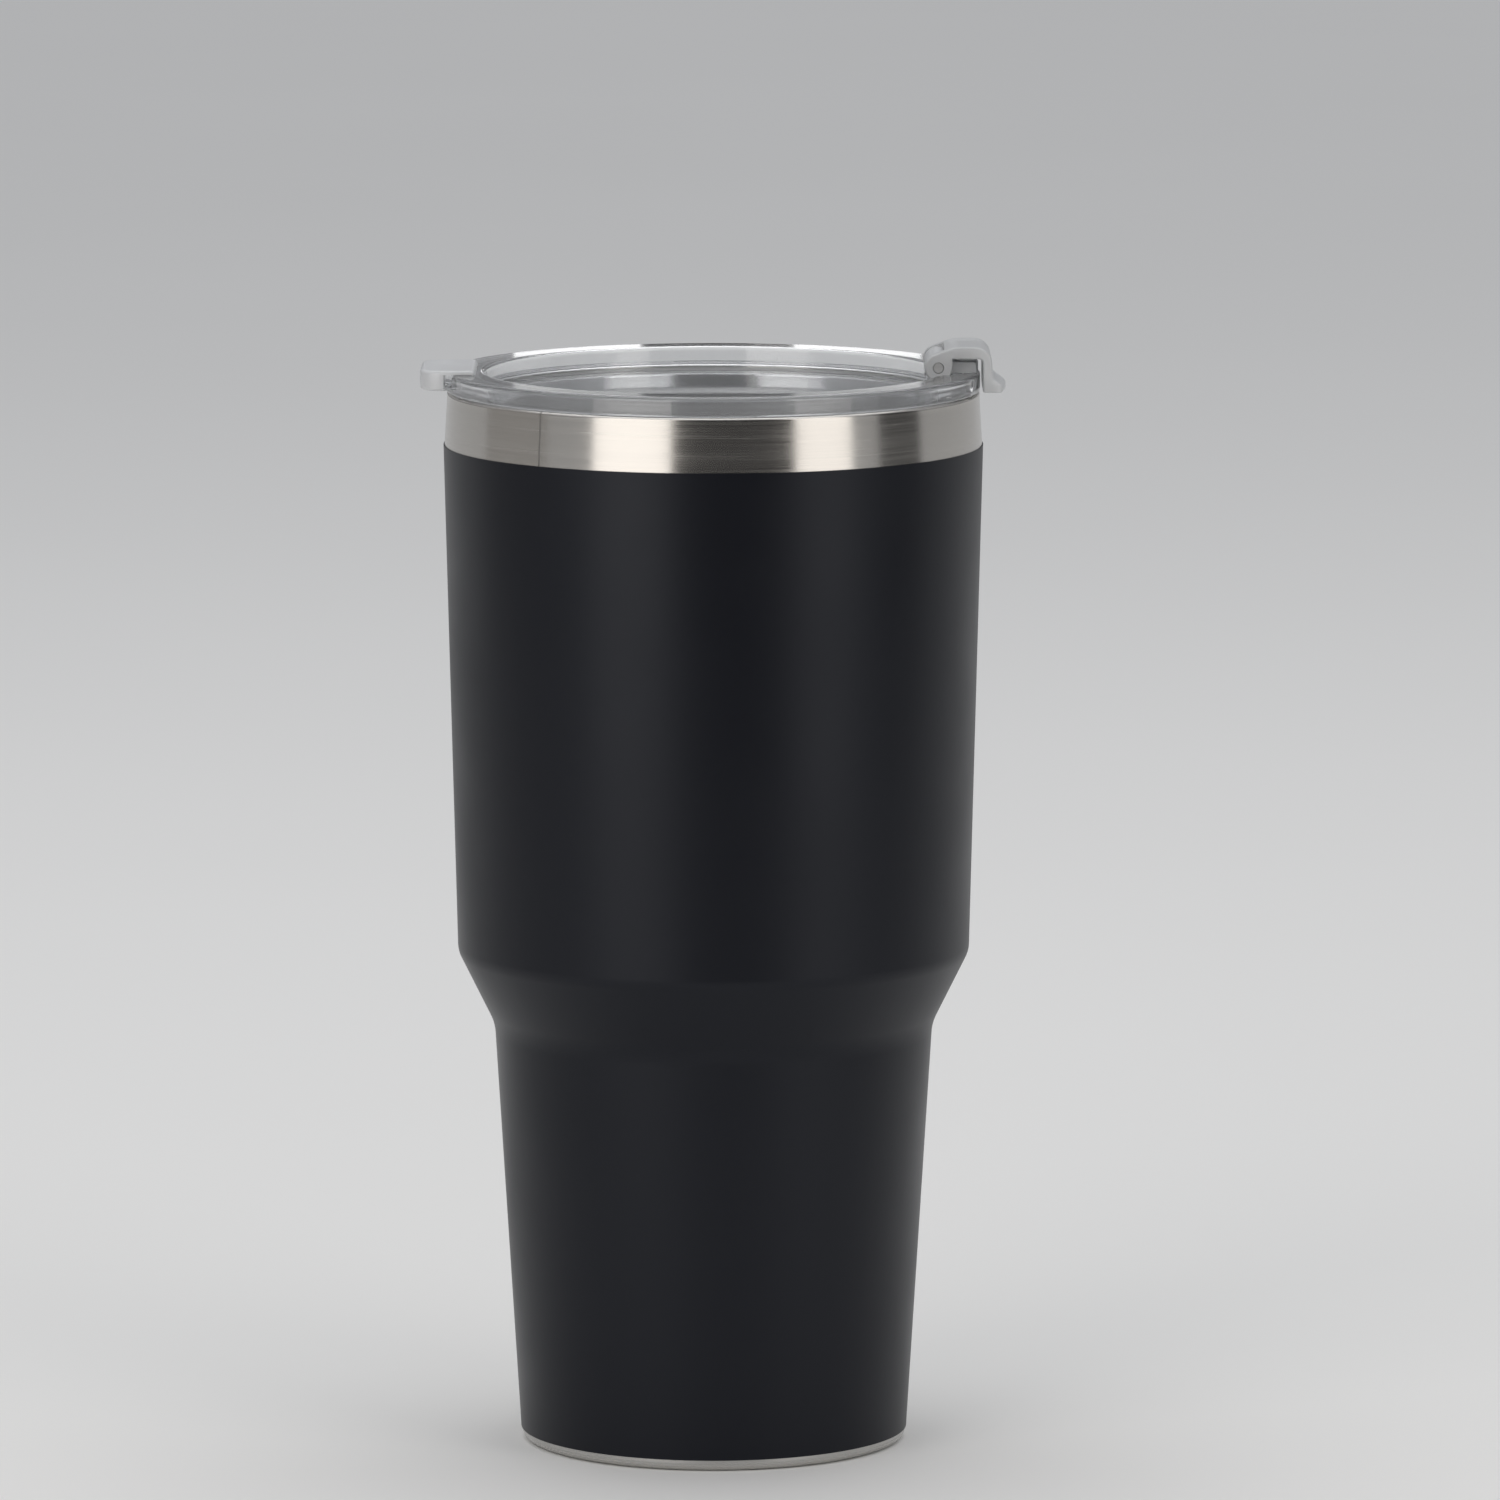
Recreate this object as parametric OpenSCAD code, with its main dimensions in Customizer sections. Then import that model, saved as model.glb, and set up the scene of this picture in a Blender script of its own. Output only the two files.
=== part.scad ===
// Vacuum insulated tumbler with a press-in lid and a flip cap over its drinking spout.
// Millimetres, +Z up. The origin is the centre of the base, on the plane the tumbler stands on.
// The lid's thumb tab points to -X and its flip cap sits over the rim at +X.

/* [Cup] */
// Height of the cup from the table to the lip
cup_height = 200; // [190:1:210]
// Height of the bare steel band between the coat and the lip
band_height = 10.1; // [8:0.1:12]
// Outer radius of the steel wall where the coat ends, the widest place
belly_top_r = 50.6; // [50.3:0.1:51.4]
// Outer radius of the steel wall at the top of the shoulder
belly_bottom_r = 48.15; // [47:0.05:49]
// Outer radius of the steel wall at the foot of the shoulder
neck_r = 41.25; // [40:0.05:42.5]
// Outer radius of the steel wall at the base
base_r = 36.3; // [35.8:0.1:37.5]
// Height of the foot of the shoulder
shoulder_low = 79.9; // [70:0.1:84]
// Height of the top of the shoulder
shoulder_high = 93.8; // [90:0.1:100]
// Radius that rounds the foot of the shoulder
neck_round = 10; // [4:1:14]
// Radius that rounds the top of the shoulder
belly_round = 5; // [2:1:7]

/* [Walls] */
// Thickness of the steel sheet
sheet = 0.5; // [0.4:0.05:0.6]
// Width of the vacuum space between the two walls
vacuum_gap = 2.8; // [2.6:0.1:3]
// Thickness of the baked powder coat
coat = 0.2; // [0.15:0.05:0.3]
// Thickness of the copper foil in the vacuum space
foil = 0.15; // [0.15:0.05:0.3]

/* [Base] */
// Radius of the corner between the wall and the resting ring
base_corner = 1.8; // [1:0.1:2]
// Inner radius of the resting ring
ring_in_r = 32.4; // [31.5:0.1:32.8]
// Height of the recess inside the resting ring
recess_height = 2; // [1.9:0.1:2.4]
// Height of the inside of the cup's floor above the table
cup_floor = 11.6; // [10.8:0.1:14]

/* [Lid] */
// Thickness of the lid's flange, which rests on the lip
flange_t = 3.65; // [3.2:0.05:4]
// Depth of the dish in the top of the lid
dish_depth = 4.5; // [3.8:0.1:5]
// Thickness of the dish's floor
dish_floor_t = 2.1; // [1.8:0.1:2.4]
// Depth of the plug below the lip
plug_depth = 10.4; // [9.8:0.1:12]
// Reach of the thumb tab and of the flip cap's finger lip from the axis
reach = 55; // [54.6:0.1:56]
// Width of the thumb tab
tab_w = 22; // [16:1:26]
// Radius of the vent hole in the dish
vent_r = 1.5; // [1:0.1:2]

/* [Flip cap] */
// Width of the flip cap
flip_w = 19; // [17.6:0.1:21]
// Width of the lid's lug between the flip cap's two cheeks
lug_w = 12.6; // [11.4:0.1:12.6]
// Height of the hinge axis above the lip
pivot_z = 5.1; // [5:0.05:5.3]
// Radius of the flip cap's knuckles
knuckle_r = 2.6; // [2.5:0.05:2.7]
// Radius of the hinge pin
pin_r = 1; // [0.8:0.05:1.1]
// Width of the sip slot across the spout
slot_w = 9.6; // [7:0.1:9.6]

/* [Hidden] */
$fn = 96;
arc_steps = 8;         // straight steps in each rounded corner of an outline
eps = 0.1;             // overlap of a cutter past the face it leaves

// Cup
coat_top = cup_height - band_height;
lip_r = belly_top_r - 0.5;
lip_t = 1.1;                                // thickness of the two walls at the lip
weld_z = cup_height - 0.7;                  // underside of the weld bead
wall = sheet + vacuum_gap + sheet;          // outside of the shell to inside of the liner
mouth_r = belly_top_r - wall;
mouth_low = coat_top - 6;                   // the mouth is straight from here
mouth_high = cup_height - 5.4;              // and flares out to the lip from here
liner_foot = cup_floor + 4.4;               // seam between the liner and its bottom
shell_foot = 3;                             // seam between the shell and the vacuum base
coat_foot = 2.2;                            // lower edge of the coat
foil_low = liner_foot + 4;
foil_high = mouth_low - 3;

function lower_r(z) = base_r + (neck_r - base_r) * z / shoulder_low;

// Outside of the steel wall from the base up to the lip, and the rounding at each point
wall_path = [[base_r, 0], [neck_r, shoulder_low], [belly_bottom_r, shoulder_high],
             [belly_top_r, coat_top], [lip_r, weld_z - 0.8], [lip_r, weld_z]];
wall_round = [0, neck_round, belly_round, 0, 0, 0];

// Inside of the liner from its foot up to the lip
liner_path = [[lower_r(liner_foot) - wall, liner_foot],
              offset_point(wall_path, 1, -wall), offset_point(wall_path, 2, -wall),
              [mouth_r, mouth_low], [mouth_r, mouth_high],
              [lip_r - lip_t, weld_z - 1.2], [lip_r - lip_t, weld_z]];
liner_round = [0, neck_round, belly_round, 0, 3, 1.5, 0];

// Base
dimple_r = 3.2;
dimple_z = recess_height + 1.2;
pump_hole_r = 0.6;
getter_x = 17;         // distance of the getter from the axis
getter_r = 3.5;
getter_h = 2.6;
strap_t = 0.3;
strap_gap = 0.15;

// Lid, with heights counted from the lip
lid_gap = 0.15;                             // between the flange and the lip
flange_r = lip_r + 0.1;
flange_top = lid_gap + flange_t;
plug_r = mouth_r - 1.3;
plug_t = 2.5;
dish_r = plug_r - plug_t;
dish_z = flange_top - dish_depth;
groove_low = -plug_depth + 1.8;
groove_high = groove_low + 3.2;
groove_r = plug_r - 1.6;
tab_low = 0.9;
tab_t = 3.8;
tab_root = dish_r + 1.6;
vent_x = -dish_r + 7;

// Flip cap
clearance = 0.35;                           // between the flip cap and the lid
pivot_x = dish_r - 0.8;
flip_top = pivot_z + 3.85;
flip_foot = 0.4;
arch_in = flange_r + clearance;             // inside of the wall that hangs over the rim
arch_under = pivot_z + 1.65;                // underside of the arch
arch_slope = 20;                            // rise of the arch above the knuckle, in degrees
spout_r = flange_r - 0.4;
spout_top = arch_under - 0.85;
slot_tilt = 33.7;                           // lean of the sip slot from the vertical, in degrees
slot_t = 2.75;
slot_x = spout_r - 2.55;                    // middle of the slot on top of the spout
bore_play = 0.06;
pin_length = flip_w - 0.6;

// --- outline helpers ---------------------------------------------------------------------

function unit(v) = v / norm(v);

// Unit vector to the right of the way from a to b
function right_of(a, b) = let (t = unit(b - a)) [t.y, -t.x];

// Corner i of a path when the whole path moves d to its right
function offset_point(path, i, d) =
    i == 0 ? path[0] + d * right_of(path[0], path[1])
    : i == len(path) - 1 ? path[i] + d * right_of(path[i - 1], path[i])
    : let (m = right_of(path[i - 1], path[i]), n = right_of(path[i], path[i + 1]))
      path[i] + d * (m + n) / (1 + m * n);

function offset_path(path, d) = [for (i = [0:len(path) - 1]) offset_point(path, i, d)];

// Roundings of the moved path: an outer bend grows by d and an inner bend shrinks
function offset_round(path, rounds, d) = [for (i = [0:len(path) - 1])
    rounds[i] == 0 ? 0
    : max(0.1, rounds[i] + d * sign(cross(path[i] - path[i - 1], path[i + 1] - path[i])))];

// Points of the arc of radius r that rounds corner b between a and c
function corner(a, b, c, r) =
    let (u = unit(a - b), v = unit(c - b), half = acos(u * v) / 2,
         centre = b + unit(u + v) * r / sin(half),
         s = b + u * r / tan(half) - centre, e = b + v * r / tan(half) - centre,
         start = atan2(s.y, s.x),
         turn = (atan2(e.y, e.x) - start + 540) % 360 - 180)
    [for (k = [0:arc_steps]) let (w = start + turn * k / arc_steps) centre + r * [cos(w), sin(w)]];

// Open path or closed outline with its corners rounded
function rounded(path, rounds) = let (n = len(path)) [for (i = [0:n - 1])
    each rounds[i] > 0
        ? corner(path[(i + n - 1) % n], path[i], path[(i + 1) % n], rounds[i])
        : [path[i]]];

function reversed(list) = [for (i = [len(list) - 1:-1:0]) list[i]];

// Sheet of thickness t, turned about Z, that lies to the right of its path
module turned_sheet(path, rounds, t) {
    rotate_extrude()
        polygon(concat(rounded(path, rounds),
                       reversed(rounded(offset_path(path, t), offset_round(path, rounds, t)))));
}

// Outline in the X-Z plane, w thick and centred on Y = 0
module across(outline, w) {
    rotate([90, 0, 0]) linear_extrude(w, center = true) polygon(outline);
}

// Rod along Y, w long and centred on Y = 0
module rod(x, z, r, w) {
    translate([x, 0, z]) rotate([90, 0, 0]) cylinder(r = r, h = w, center = true);
}

module on_lip() {
    translate([0, 0, cup_height]) children();
}

// --- cup ---------------------------------------------------------------------------------

// Hydroformed outer wall, cut off at the seam with the vacuum base
module outer_shell() {
    path = concat([[lower_r(shell_foot), shell_foot]], [for (i = [1:5]) wall_path[i]]);
    color("silver") turned_sheet(path, wall_round, -sheet);
}

// Baked coat over the shell and the seam, up to the bare band
module powder_coat() {
    path = concat([[lower_r(coat_foot), coat_foot]], [for (i = [1:3]) wall_path[i]]);
    color("#26272b") turned_sheet(path, wall_round, coat);
}

// Inner wall that holds the drink
module inner_liner() {
    color("gainsboro") turned_sheet(liner_path, liner_round, sheet);
}

// Domed disc that closes the foot of the liner
module liner_bottom() {
    foot_r = liner_path[0][0];
    dome = cup_floor + 0.6;
    path = [[0, dome], [5, dome], [foot_r - 0.3, cup_floor], liner_path[0]];
    color("gainsboro") turned_sheet(path, [0, 8, 3.2, 0], sheet);
}

// Ground weld bead that closes the vacuum between the two walls at the lip
module rim_weld() {
    bead = [[lip_r - lip_t, weld_z], [lip_r, weld_z], [lip_r, cup_height], [lip_r - lip_t, cup_height]];
    color("silver") rotate_extrude() polygon(rounded(bead, [0, 0, 0.54, 0.54]));
}

// Foil round the liner that turns heat back
module radiation_foil() {
    stand_off = sheet + 0.5;
    path = [[lower_r(foil_low) - wall + stand_off, foil_low],
            offset_point(liner_path, 1, stand_off), offset_point(liner_path, 2, stand_off),
            [mouth_r + stand_off - 0.1, foil_high]];
    color("#b87333") turned_sheet(path, [0, neck_round, belly_round, 0], foil);
}

// Pressed bottom of the vacuum space: corner, resting ring, recess and pump-out dimple
module vacuum_base() {
    path = [[lower_r(shell_foot), shell_foot], [base_r, 0], [ring_in_r, 0],
            [ring_in_r - 0.6, recess_height], [dimple_r + 2.2, recess_height],
            [dimple_r, dimple_z], [pump_hole_r, dimple_z]];
    color("silver") turned_sheet(path, [0, base_corner, 0.5, 0.9, 0, 0, 0], sheet);
}

// Glass bead that was melted over the pump-out hole
module sealing_glass() {
    bead_low = recess_height + 0.1;
    bead_r = dimple_r - 0.5;
    stub_r = pump_hole_r - 0.05;
    bead = [[0, bead_low], [bead_r, bead_low], [bead_r, dimple_z], [stub_r, dimple_z],
            [stub_r, dimple_z + sheet + 0.1], [0, dimple_z + sheet + 0.1]];
    color("seagreen") rotate_extrude() polygon(rounded(bead, [0, 0.7, 0, 0, 0, 0]));
}

// Tablet that soaks up stray gas
module getter_pellet() {
    color("dimgray") translate([getter_x, 0, recess_height + sheet])
        cylinder(r = getter_r, h = getter_h);
}

// Strap over the tablet, spot welded to the base by its two feet
module getter_holder() {
    in_x = getter_r + strap_gap;
    out_x = in_x + strap_t;
    in_z = getter_h + strap_gap;
    foot_x = out_x + 3.2;
    strap = [[-foot_x, 0], [-in_x, 0], [-in_x, in_z], [in_x, in_z], [in_x, 0], [foot_x, 0],
             [foot_x, strap_t], [out_x, strap_t], [out_x, in_z + strap_t],
             [-out_x, in_z + strap_t], [-out_x, strap_t], [-foot_x, strap_t]];
    color("lightsteelblue") translate([getter_x, 0, recess_height + sheet]) across(strap, 4);
}

// Thin disc glued in the recess over the glass bead, with one pressed ring
module base_cap() {
    low = recess_height - 0.75;
    press = 0.35;
    path = [[0, low], [22, low], [22.8, low - press], [24.6, low - press], [25.4, low],
            [ring_in_r - 1.3, low]];
    color("gainsboro") turned_sheet(path, [0, 0, 0, 0, 0, 0], -sheet);
}

// --- lid ---------------------------------------------------------------------------------

// Section of the lid: plug with a gasket groove, flange, and dish
module lid_disc() {
    section = [[0, dish_z - dish_floor_t], [dish_r - 0.4, dish_z - dish_floor_t],
               [dish_r, -plug_depth], [plug_r - 0.3, -plug_depth], [plug_r, groove_low],
               [groove_r, groove_low], [groove_r, groove_high], [plug_r, groove_high],
               [plug_r, lid_gap], [flange_r, lid_gap], [flange_r, flange_top],
               [dish_r, flange_top], [dish_r - 0.3, dish_z], [0, dish_z]];
    rotate_extrude()
        polygon(rounded(section, [0, 1.2, 0.6, 0.9, 0, 0.2, 0.2, 0, 0.5, 0.35, 0.8, 0.8, 0.8, 0]));
}

// Tongue that the thumb lifts, a little higher than the flange
module thumb_tab() {
    outline = [[-tab_root, -tab_w / 2], [-reach, -tab_w / 2], [-reach, tab_w / 2], [-tab_root, tab_w / 2]];
    translate([0, 0, tab_low]) linear_extrude(tab_t) polygon(rounded(outline, [1, 4, 4, 1]));
}

// Hinge lug in the dish and the raised spout on the rim, as one block
module lug_and_spout() {
    lug_r = knuckle_r - 0.1;
    block = [[pivot_x - lug_r, dish_z - eps], [plug_r - 0.5, dish_z - eps], [plug_r - 0.5, 1],
             [flange_r, 1], [flange_r, spout_top], [pivot_x, spout_top], [pivot_x - lug_r, pivot_z]];
    intersection() {
        union() {
            across(block, lug_w);
            rod(pivot_x, pivot_z, lug_r, lug_w);
        }
        translate([0, 0, dish_z - 1]) cylinder(r = spout_r, h = pivot_z + 10);
    }
}

// Leaning slot that leads the drink from under the dish to the top of the spout
module sip_slot() {
    half_t = slot_t / 2;
    half_w = slot_w / 2;
    outline = [[-half_t, -half_w], [half_t, -half_w], [half_t, half_w], [-half_t, half_w]];
    translate([slot_x, 0, spout_top]) rotate([0, slot_tilt, 0]) translate([0, 0, -20])
        linear_extrude(24) polygon(rounded(outline, [1.2, 1.2, 1.2, 1.2]));
}

// Room in the rim for the flip cap's two cheeks
module cheek_pockets() {
    pocket_w = (flip_w - lug_w) / 2 + clearance;
    for (side = [-1, 1])
        translate([0, side * (lug_w + pocket_w) / 2, 0])
            rod(pivot_x, pivot_z, knuckle_r + clearance, pocket_w);
}

module lid_body() {
    color("lightgray", 0.6) on_lip() difference() {
        union() {
            lid_disc();
            thumb_tab();
            lug_and_spout();
        }
        sip_slot();
        cheek_pockets();
        rod(pivot_x, pivot_z, pin_r, lug_w + eps);
        translate([vent_x, 0, dish_z - 5]) cylinder(r = vent_r, h = 10);
    }
}

// Silicone ring with two wiping fins
module lid_gasket() {
    back_r = groove_r + 0.05;
    body_r = plug_r - 0.2;
    fin_r = mouth_r - 0.3;
    low = groove_low + 0.05;
    high = groove_high - 0.05;
    fin_t = 0.55;
    gap = 0.55;
    section = [[back_r, low], [body_r, low], [body_r, low + gap], [fin_r, low + gap + 0.2],
               [fin_r, low + gap + 0.2 + fin_t], [body_r, low + gap + fin_t],
               [body_r, high - gap - fin_t], [fin_r, high - gap - fin_t + 0.2],
               [fin_r, high - gap + 0.2], [body_r, high - gap], [body_r, high], [back_r, high]];
    color("whitesmoke") on_lip() rotate_extrude() polygon(section);
}

// Steel pin through the lug and both cheeks
module hinge_pin() {
    color("gray") on_lip() rod(pivot_x, pivot_z, pin_r, pin_length);
}

// --- flip cap ----------------------------------------------------------------------------

// Side view of the flip cap: knuckle, arch over the rim, outer wall and finger lip
function flip_outline() =
    let (knuckle_in = pivot_x - knuckle_r, knuckle_out = pivot_x + knuckle_r,
         touch_x = pivot_x - knuckle_r * sin(arch_slope),
         touch_z = pivot_z + knuckle_r * cos(arch_slope),
         crest_x = touch_x + (flip_top - touch_z) / tan(arch_slope))
    rounded([[knuckle_in, pivot_z - knuckle_r],
             [knuckle_in, touch_z - (touch_x - knuckle_in) * tan(arch_slope)],
             [crest_x, flip_top], [arch_in + 1.35, flip_top], [arch_in + 2.15, flip_foot + 2.6],
             [reach, flip_foot + 1.3], [reach, flip_foot], [arch_in, flip_foot],
             [arch_in, arch_under], [knuckle_out, arch_under], [knuckle_out, pivot_z - knuckle_r]],
            [knuckle_r - 0.01, knuckle_r - 0.01, 7, 3.2, 1.5, 0.6, 0.6, 0.3, 0.8, 0, knuckle_r - 0.01]);

module flip_cap() {
    centre_w = lug_w + 2 * 0.3;
    cheek_x = pivot_x + 1.2;
    side_y = flip_w / 2;
    plan = [[pivot_x - 5, -side_y], [reach, -side_y], [reach, side_y], [pivot_x - 5, side_y]];
    color("gainsboro", 0.7) on_lip() difference() {
        intersection() {
            across(flip_outline(), flip_w);
            linear_extrude(flip_top + 1) polygon(rounded(plan, [0, 2.5, 2.5, 0]));
            cylinder(r = reach, h = flip_top + 1);
        }
        rod(pivot_x, pivot_z, knuckle_r - 0.1 + clearance, centre_w);
        translate([cheek_x - 10, -centre_w / 2, 0]) cube([10, centre_w, flip_top + 1]);
        translate([cheek_x - eps, -centre_w / 2, 0])
            cube([knuckle_r - 1.2 + 2 * eps, centre_w, pivot_z]);
        rod(pivot_x, pivot_z, pin_r + bore_play, flip_w + 1);
    }
}

// Silicone pad under the arch with a boss that enters the sip slot
module flip_seal() {
    pad_low = spout_top + 0.2;
    pad_in = slot_x - 1.9;
    pad_out = slot_x + 2.1;
    boss_in = slot_x - 1;
    boss_out = slot_x + 0.6;
    pad = [[pad_in, -lug_w / 2 + 0.6], [pad_out, -lug_w / 2 + 0.6],
           [pad_out, lug_w / 2 - 0.6], [pad_in, lug_w / 2 - 0.6]];
    boss = [[boss_in, -slot_w / 2 + 0.9], [boss_out, -slot_w / 2 + 0.9],
            [boss_out, slot_w / 2 - 0.9], [boss_in, slot_w / 2 - 0.9]];
    color("whitesmoke") on_lip() {
        translate([0, 0, pad_low]) linear_extrude(arch_under - pad_low)
            polygon(rounded(pad, [1, 1, 1, 1]));
        translate([0, 0, pad_low - 0.8]) linear_extrude(0.8 + eps)
            polygon(rounded(boss, [0.7, 0.7, 0.7, 0.7]));
    }
}

outer_shell();
powder_coat();
inner_liner();
liner_bottom();
rim_weld();
radiation_foil();
vacuum_base();
sealing_glass();
getter_pellet();
getter_holder();
base_cap();
lid_body();
lid_gasket();
hinge_pin();
flip_cap();
flip_seal();
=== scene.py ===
# %% [markdown]
# # Insulated tumbler with lid
# This lesson builds the looks of a stepped steel tumbler: two thin steel walls with a vacuum
# between them, a black powder coat, a clear press-in lid, and a small flip cap that swings on a
# pin over the drinking spout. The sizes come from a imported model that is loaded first, so every
# surface made here lies exactly where the real part has it. Lengths are written in millimetres
# and turned into metres only when a mesh is made.

import math

import bpy
import numpy as np
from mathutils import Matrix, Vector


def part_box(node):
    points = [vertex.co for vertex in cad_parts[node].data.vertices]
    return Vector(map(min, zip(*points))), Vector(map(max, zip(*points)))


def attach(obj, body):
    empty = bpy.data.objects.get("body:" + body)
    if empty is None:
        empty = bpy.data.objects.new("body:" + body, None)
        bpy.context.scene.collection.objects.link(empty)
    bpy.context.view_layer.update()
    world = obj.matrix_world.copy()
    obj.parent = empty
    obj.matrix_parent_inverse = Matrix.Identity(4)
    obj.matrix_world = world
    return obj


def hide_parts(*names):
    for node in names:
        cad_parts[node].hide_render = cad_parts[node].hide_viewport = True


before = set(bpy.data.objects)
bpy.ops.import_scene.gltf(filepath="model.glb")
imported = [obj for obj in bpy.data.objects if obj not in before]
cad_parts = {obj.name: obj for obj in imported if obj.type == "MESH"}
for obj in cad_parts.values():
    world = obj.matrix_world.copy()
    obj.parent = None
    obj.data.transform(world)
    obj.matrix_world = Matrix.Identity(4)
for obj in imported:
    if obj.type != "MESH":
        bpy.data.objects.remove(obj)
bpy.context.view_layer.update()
MM = 0.001


def reach(node):
    """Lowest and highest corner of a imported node, in millimetres."""
    low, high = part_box(node)
    return np.array(low) / MM, np.array(high) / MM


LIP_Z = reach("rim_weld")[1][2]
COAT_TOP = reach("powder_coat")[1][2]
print("lip at", round(LIP_Z, 2), "mm, coat ends at", round(COAT_TOP, 2), "mm")

# %% [markdown]
# ## Outlines
# Almost every piece here starts as a flat outline with rounded corners. A pressed or moulded part
# has no sharp corners, and a rounded one catches a thin line of light, which is what makes it look
# real. Each corner is swapped for an arc, worked out for all the corners at once. A support point
# is added just outside each arc, so that the smooth shading of the arc doesn't creep along the
# flat beside it.

# %% Round the corners of an outline
ARC_POINTS = 9
SUPPORT = 0.12
SUPPORT_SHARE = 0.4
SHORTEST = 0.012


def unit(v):
    """Each vector divided by its own length."""
    return v / np.maximum(np.linalg.norm(v, axis=-1, keepdims=True), 1e-12)


def rounded(corners, radii):
    """Outline whose corners are arcs.
    The arc's centre lies on the corner's bisector, radius / sin(half angle) away from the corner,
    and the arc runs between the two points radius / tan(half angle) along the sides. A support
    point takes up no more than its share of what is left of a side, and points closer together
    than the shortest step are dropped."""
    at, radius = np.array(corners, float), np.array(radii, float)[:, None]
    to_last, to_next = unit(np.roll(at, 1, 0) - at), unit(np.roll(at, -1, 0) - at)
    half = np.arccos(np.clip((to_last * to_next).sum(1, keepdims=True), -1, 1)) / 2
    half = np.where(radius > 0, half, 1.0)
    centre = at + unit(to_last + to_next) * radius / np.sin(half)
    tangent = radius / np.tan(half)
    start, end = at + to_last * tangent - centre, at + to_next * tangent - centre
    first = np.arctan2(start[:, 1], start[:, 0])[:, None]
    turn = np.arctan2(end[:, 1], end[:, 0])[:, None] - first
    turn = (turn + math.pi) % (2 * math.pi) - math.pi
    angle = first + turn * np.linspace(0, 1, ARC_POINTS)
    arc = centre[:, None] + radius[:, None] * np.stack([np.cos(angle), np.sin(angle)], -1)
    side = np.linalg.norm(np.roll(at, -1, 0) - at, axis=1)[:, None]
    spare = np.maximum(side - tangent - np.roll(tangent, -1, 0), 0)
    before = np.where(radius > 0, np.minimum(SUPPORT, SUPPORT_SHARE * np.roll(spare, 1, 0)), 0)
    after = np.where(radius > 0, np.minimum(SUPPORT, SUPPORT_SHARE * spare), 0)
    points = np.concatenate([(at + to_last * (tangent + before))[:, None], arc,
                             (at + to_next * (tangent + after))[:, None]], 1).reshape(-1, 2)
    step = np.linalg.norm(points - np.roll(points, 1, 0), axis=1)
    return points[step > SHORTEST]


print("a rounded square has", len(rounded([[0, 0], [9, 0], [9, 9], [0, 9]], [1] * 4)), "points")

# %% [markdown]
# Sheet metal is a line with a thickness. The second face of a sheet is the first one moved to its
# right by the thickness, and at each bend the moved point slides along the bisector, so that both
# sides of the bend stay parallel. The bend's radius grows or shrinks by the same amount.

# %% Move a path sideways, and give a path a thickness
TIGHTEST_BEND = 0.1


def moved(path, gap):
    """Open path moved gap to its right.
    A point moves along the sum m + n of its two segments' right-hand normals,
    by gap (m + n) / (1 + m.n), and an end point moves along its own normal."""
    path = np.array(path, float)
    along = unit(np.diff(path, axis=0))
    right = np.stack([along[:, 1], -along[:, 0]], -1)
    m, n = np.vstack([right[:1], right]), np.vstack([right, right[-1:]])
    return path + gap * (m + n) / (1 + (m * n).sum(1, keepdims=True))


def sheet_outline(path, radii, thickness):
    """Closed outline of a sheet that lies to the right of its path, or to its left if the
    thickness is negative. A bend to the left has a radius larger by the thickness on the far
    face, and a bend to the right one smaller by it."""
    path, radii = np.array(path, float), np.array(radii, float)
    way = np.diff(path, axis=0)
    bend = np.zeros(len(path))
    bend[1:-1] = np.sign(way[:-1, 0] * way[1:, 1] - way[:-1, 1] * way[1:, 0])
    far_radii = np.where(radii > 0, np.maximum(radii + thickness * bend, TIGHTEST_BEND), 0)
    near, far = rounded(path, radii), rounded(moved(path, thickness), far_radii)
    return np.vstack([near, far[::-1]])


print("a flat sheet's outline has", len(sheet_outline([[0, 0], [9, 0]], [0, 0], 1)), "points")

# %% [markdown]
# ## From outline to mesh
# A turned surface is a function of two parameters: how far along the outline, and the angle round
# the axis. It is worked out as one block of numbers, and a second block of row and column numbers
# joins the points into faces. Where the outline touches the axis, the row shrinks to one point, and
# triangles close the pole. The outline always runs counter-clockwise, so the faces point outwards.
# The surface also gets a map, because brushed steel needs to know which way its wall runs.

# %% Make a mesh object, and a turned surface
TURN_STEPS = 320
ON_AXIS = 1e-6
WALL_MAP = "along_wall"
POLE_MAP = [[0, 0], [1, 0], [1, 0.01]]


def made(name, points, faces):
    """Mesh object at the origin, from points in millimetres and lists of point numbers."""
    mesh = bpy.data.meshes.new(name)
    mesh.from_pydata((np.asarray(points) * MM).tolist(), [], faces)
    piece = bpy.data.objects.new(name, mesh)
    bpy.context.scene.collection.objects.link(piece)
    return piece


def counter_clockwise(outline):
    """Closed outline that runs counter-clockwise. The sum of x z' - x' z over its sides, each from
    (x, z) to (x', z'), is twice its area, and is negative when it runs clockwise."""
    x, z = outline[:, 0], outline[:, 1]
    twice_area = (x * np.roll(z, -1) - np.roll(x, -1) * z).sum()
    return outline[::-1] if twice_area < 0 else outline


def grid_faces(number, closed):
    """Four-sided faces between neighbouring rows of a grid of point numbers. Each row closes on
    itself, and with closed the last row is joined to the first."""
    low, high = (number, np.roll(number, -1, 0)) if closed else (number[:-1], number[1:])
    right = np.roll(np.arange(number.shape[1]), -1)
    return np.stack([low, low[:, right], high[:, right], high], -1).reshape(-1, 4).tolist()


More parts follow.
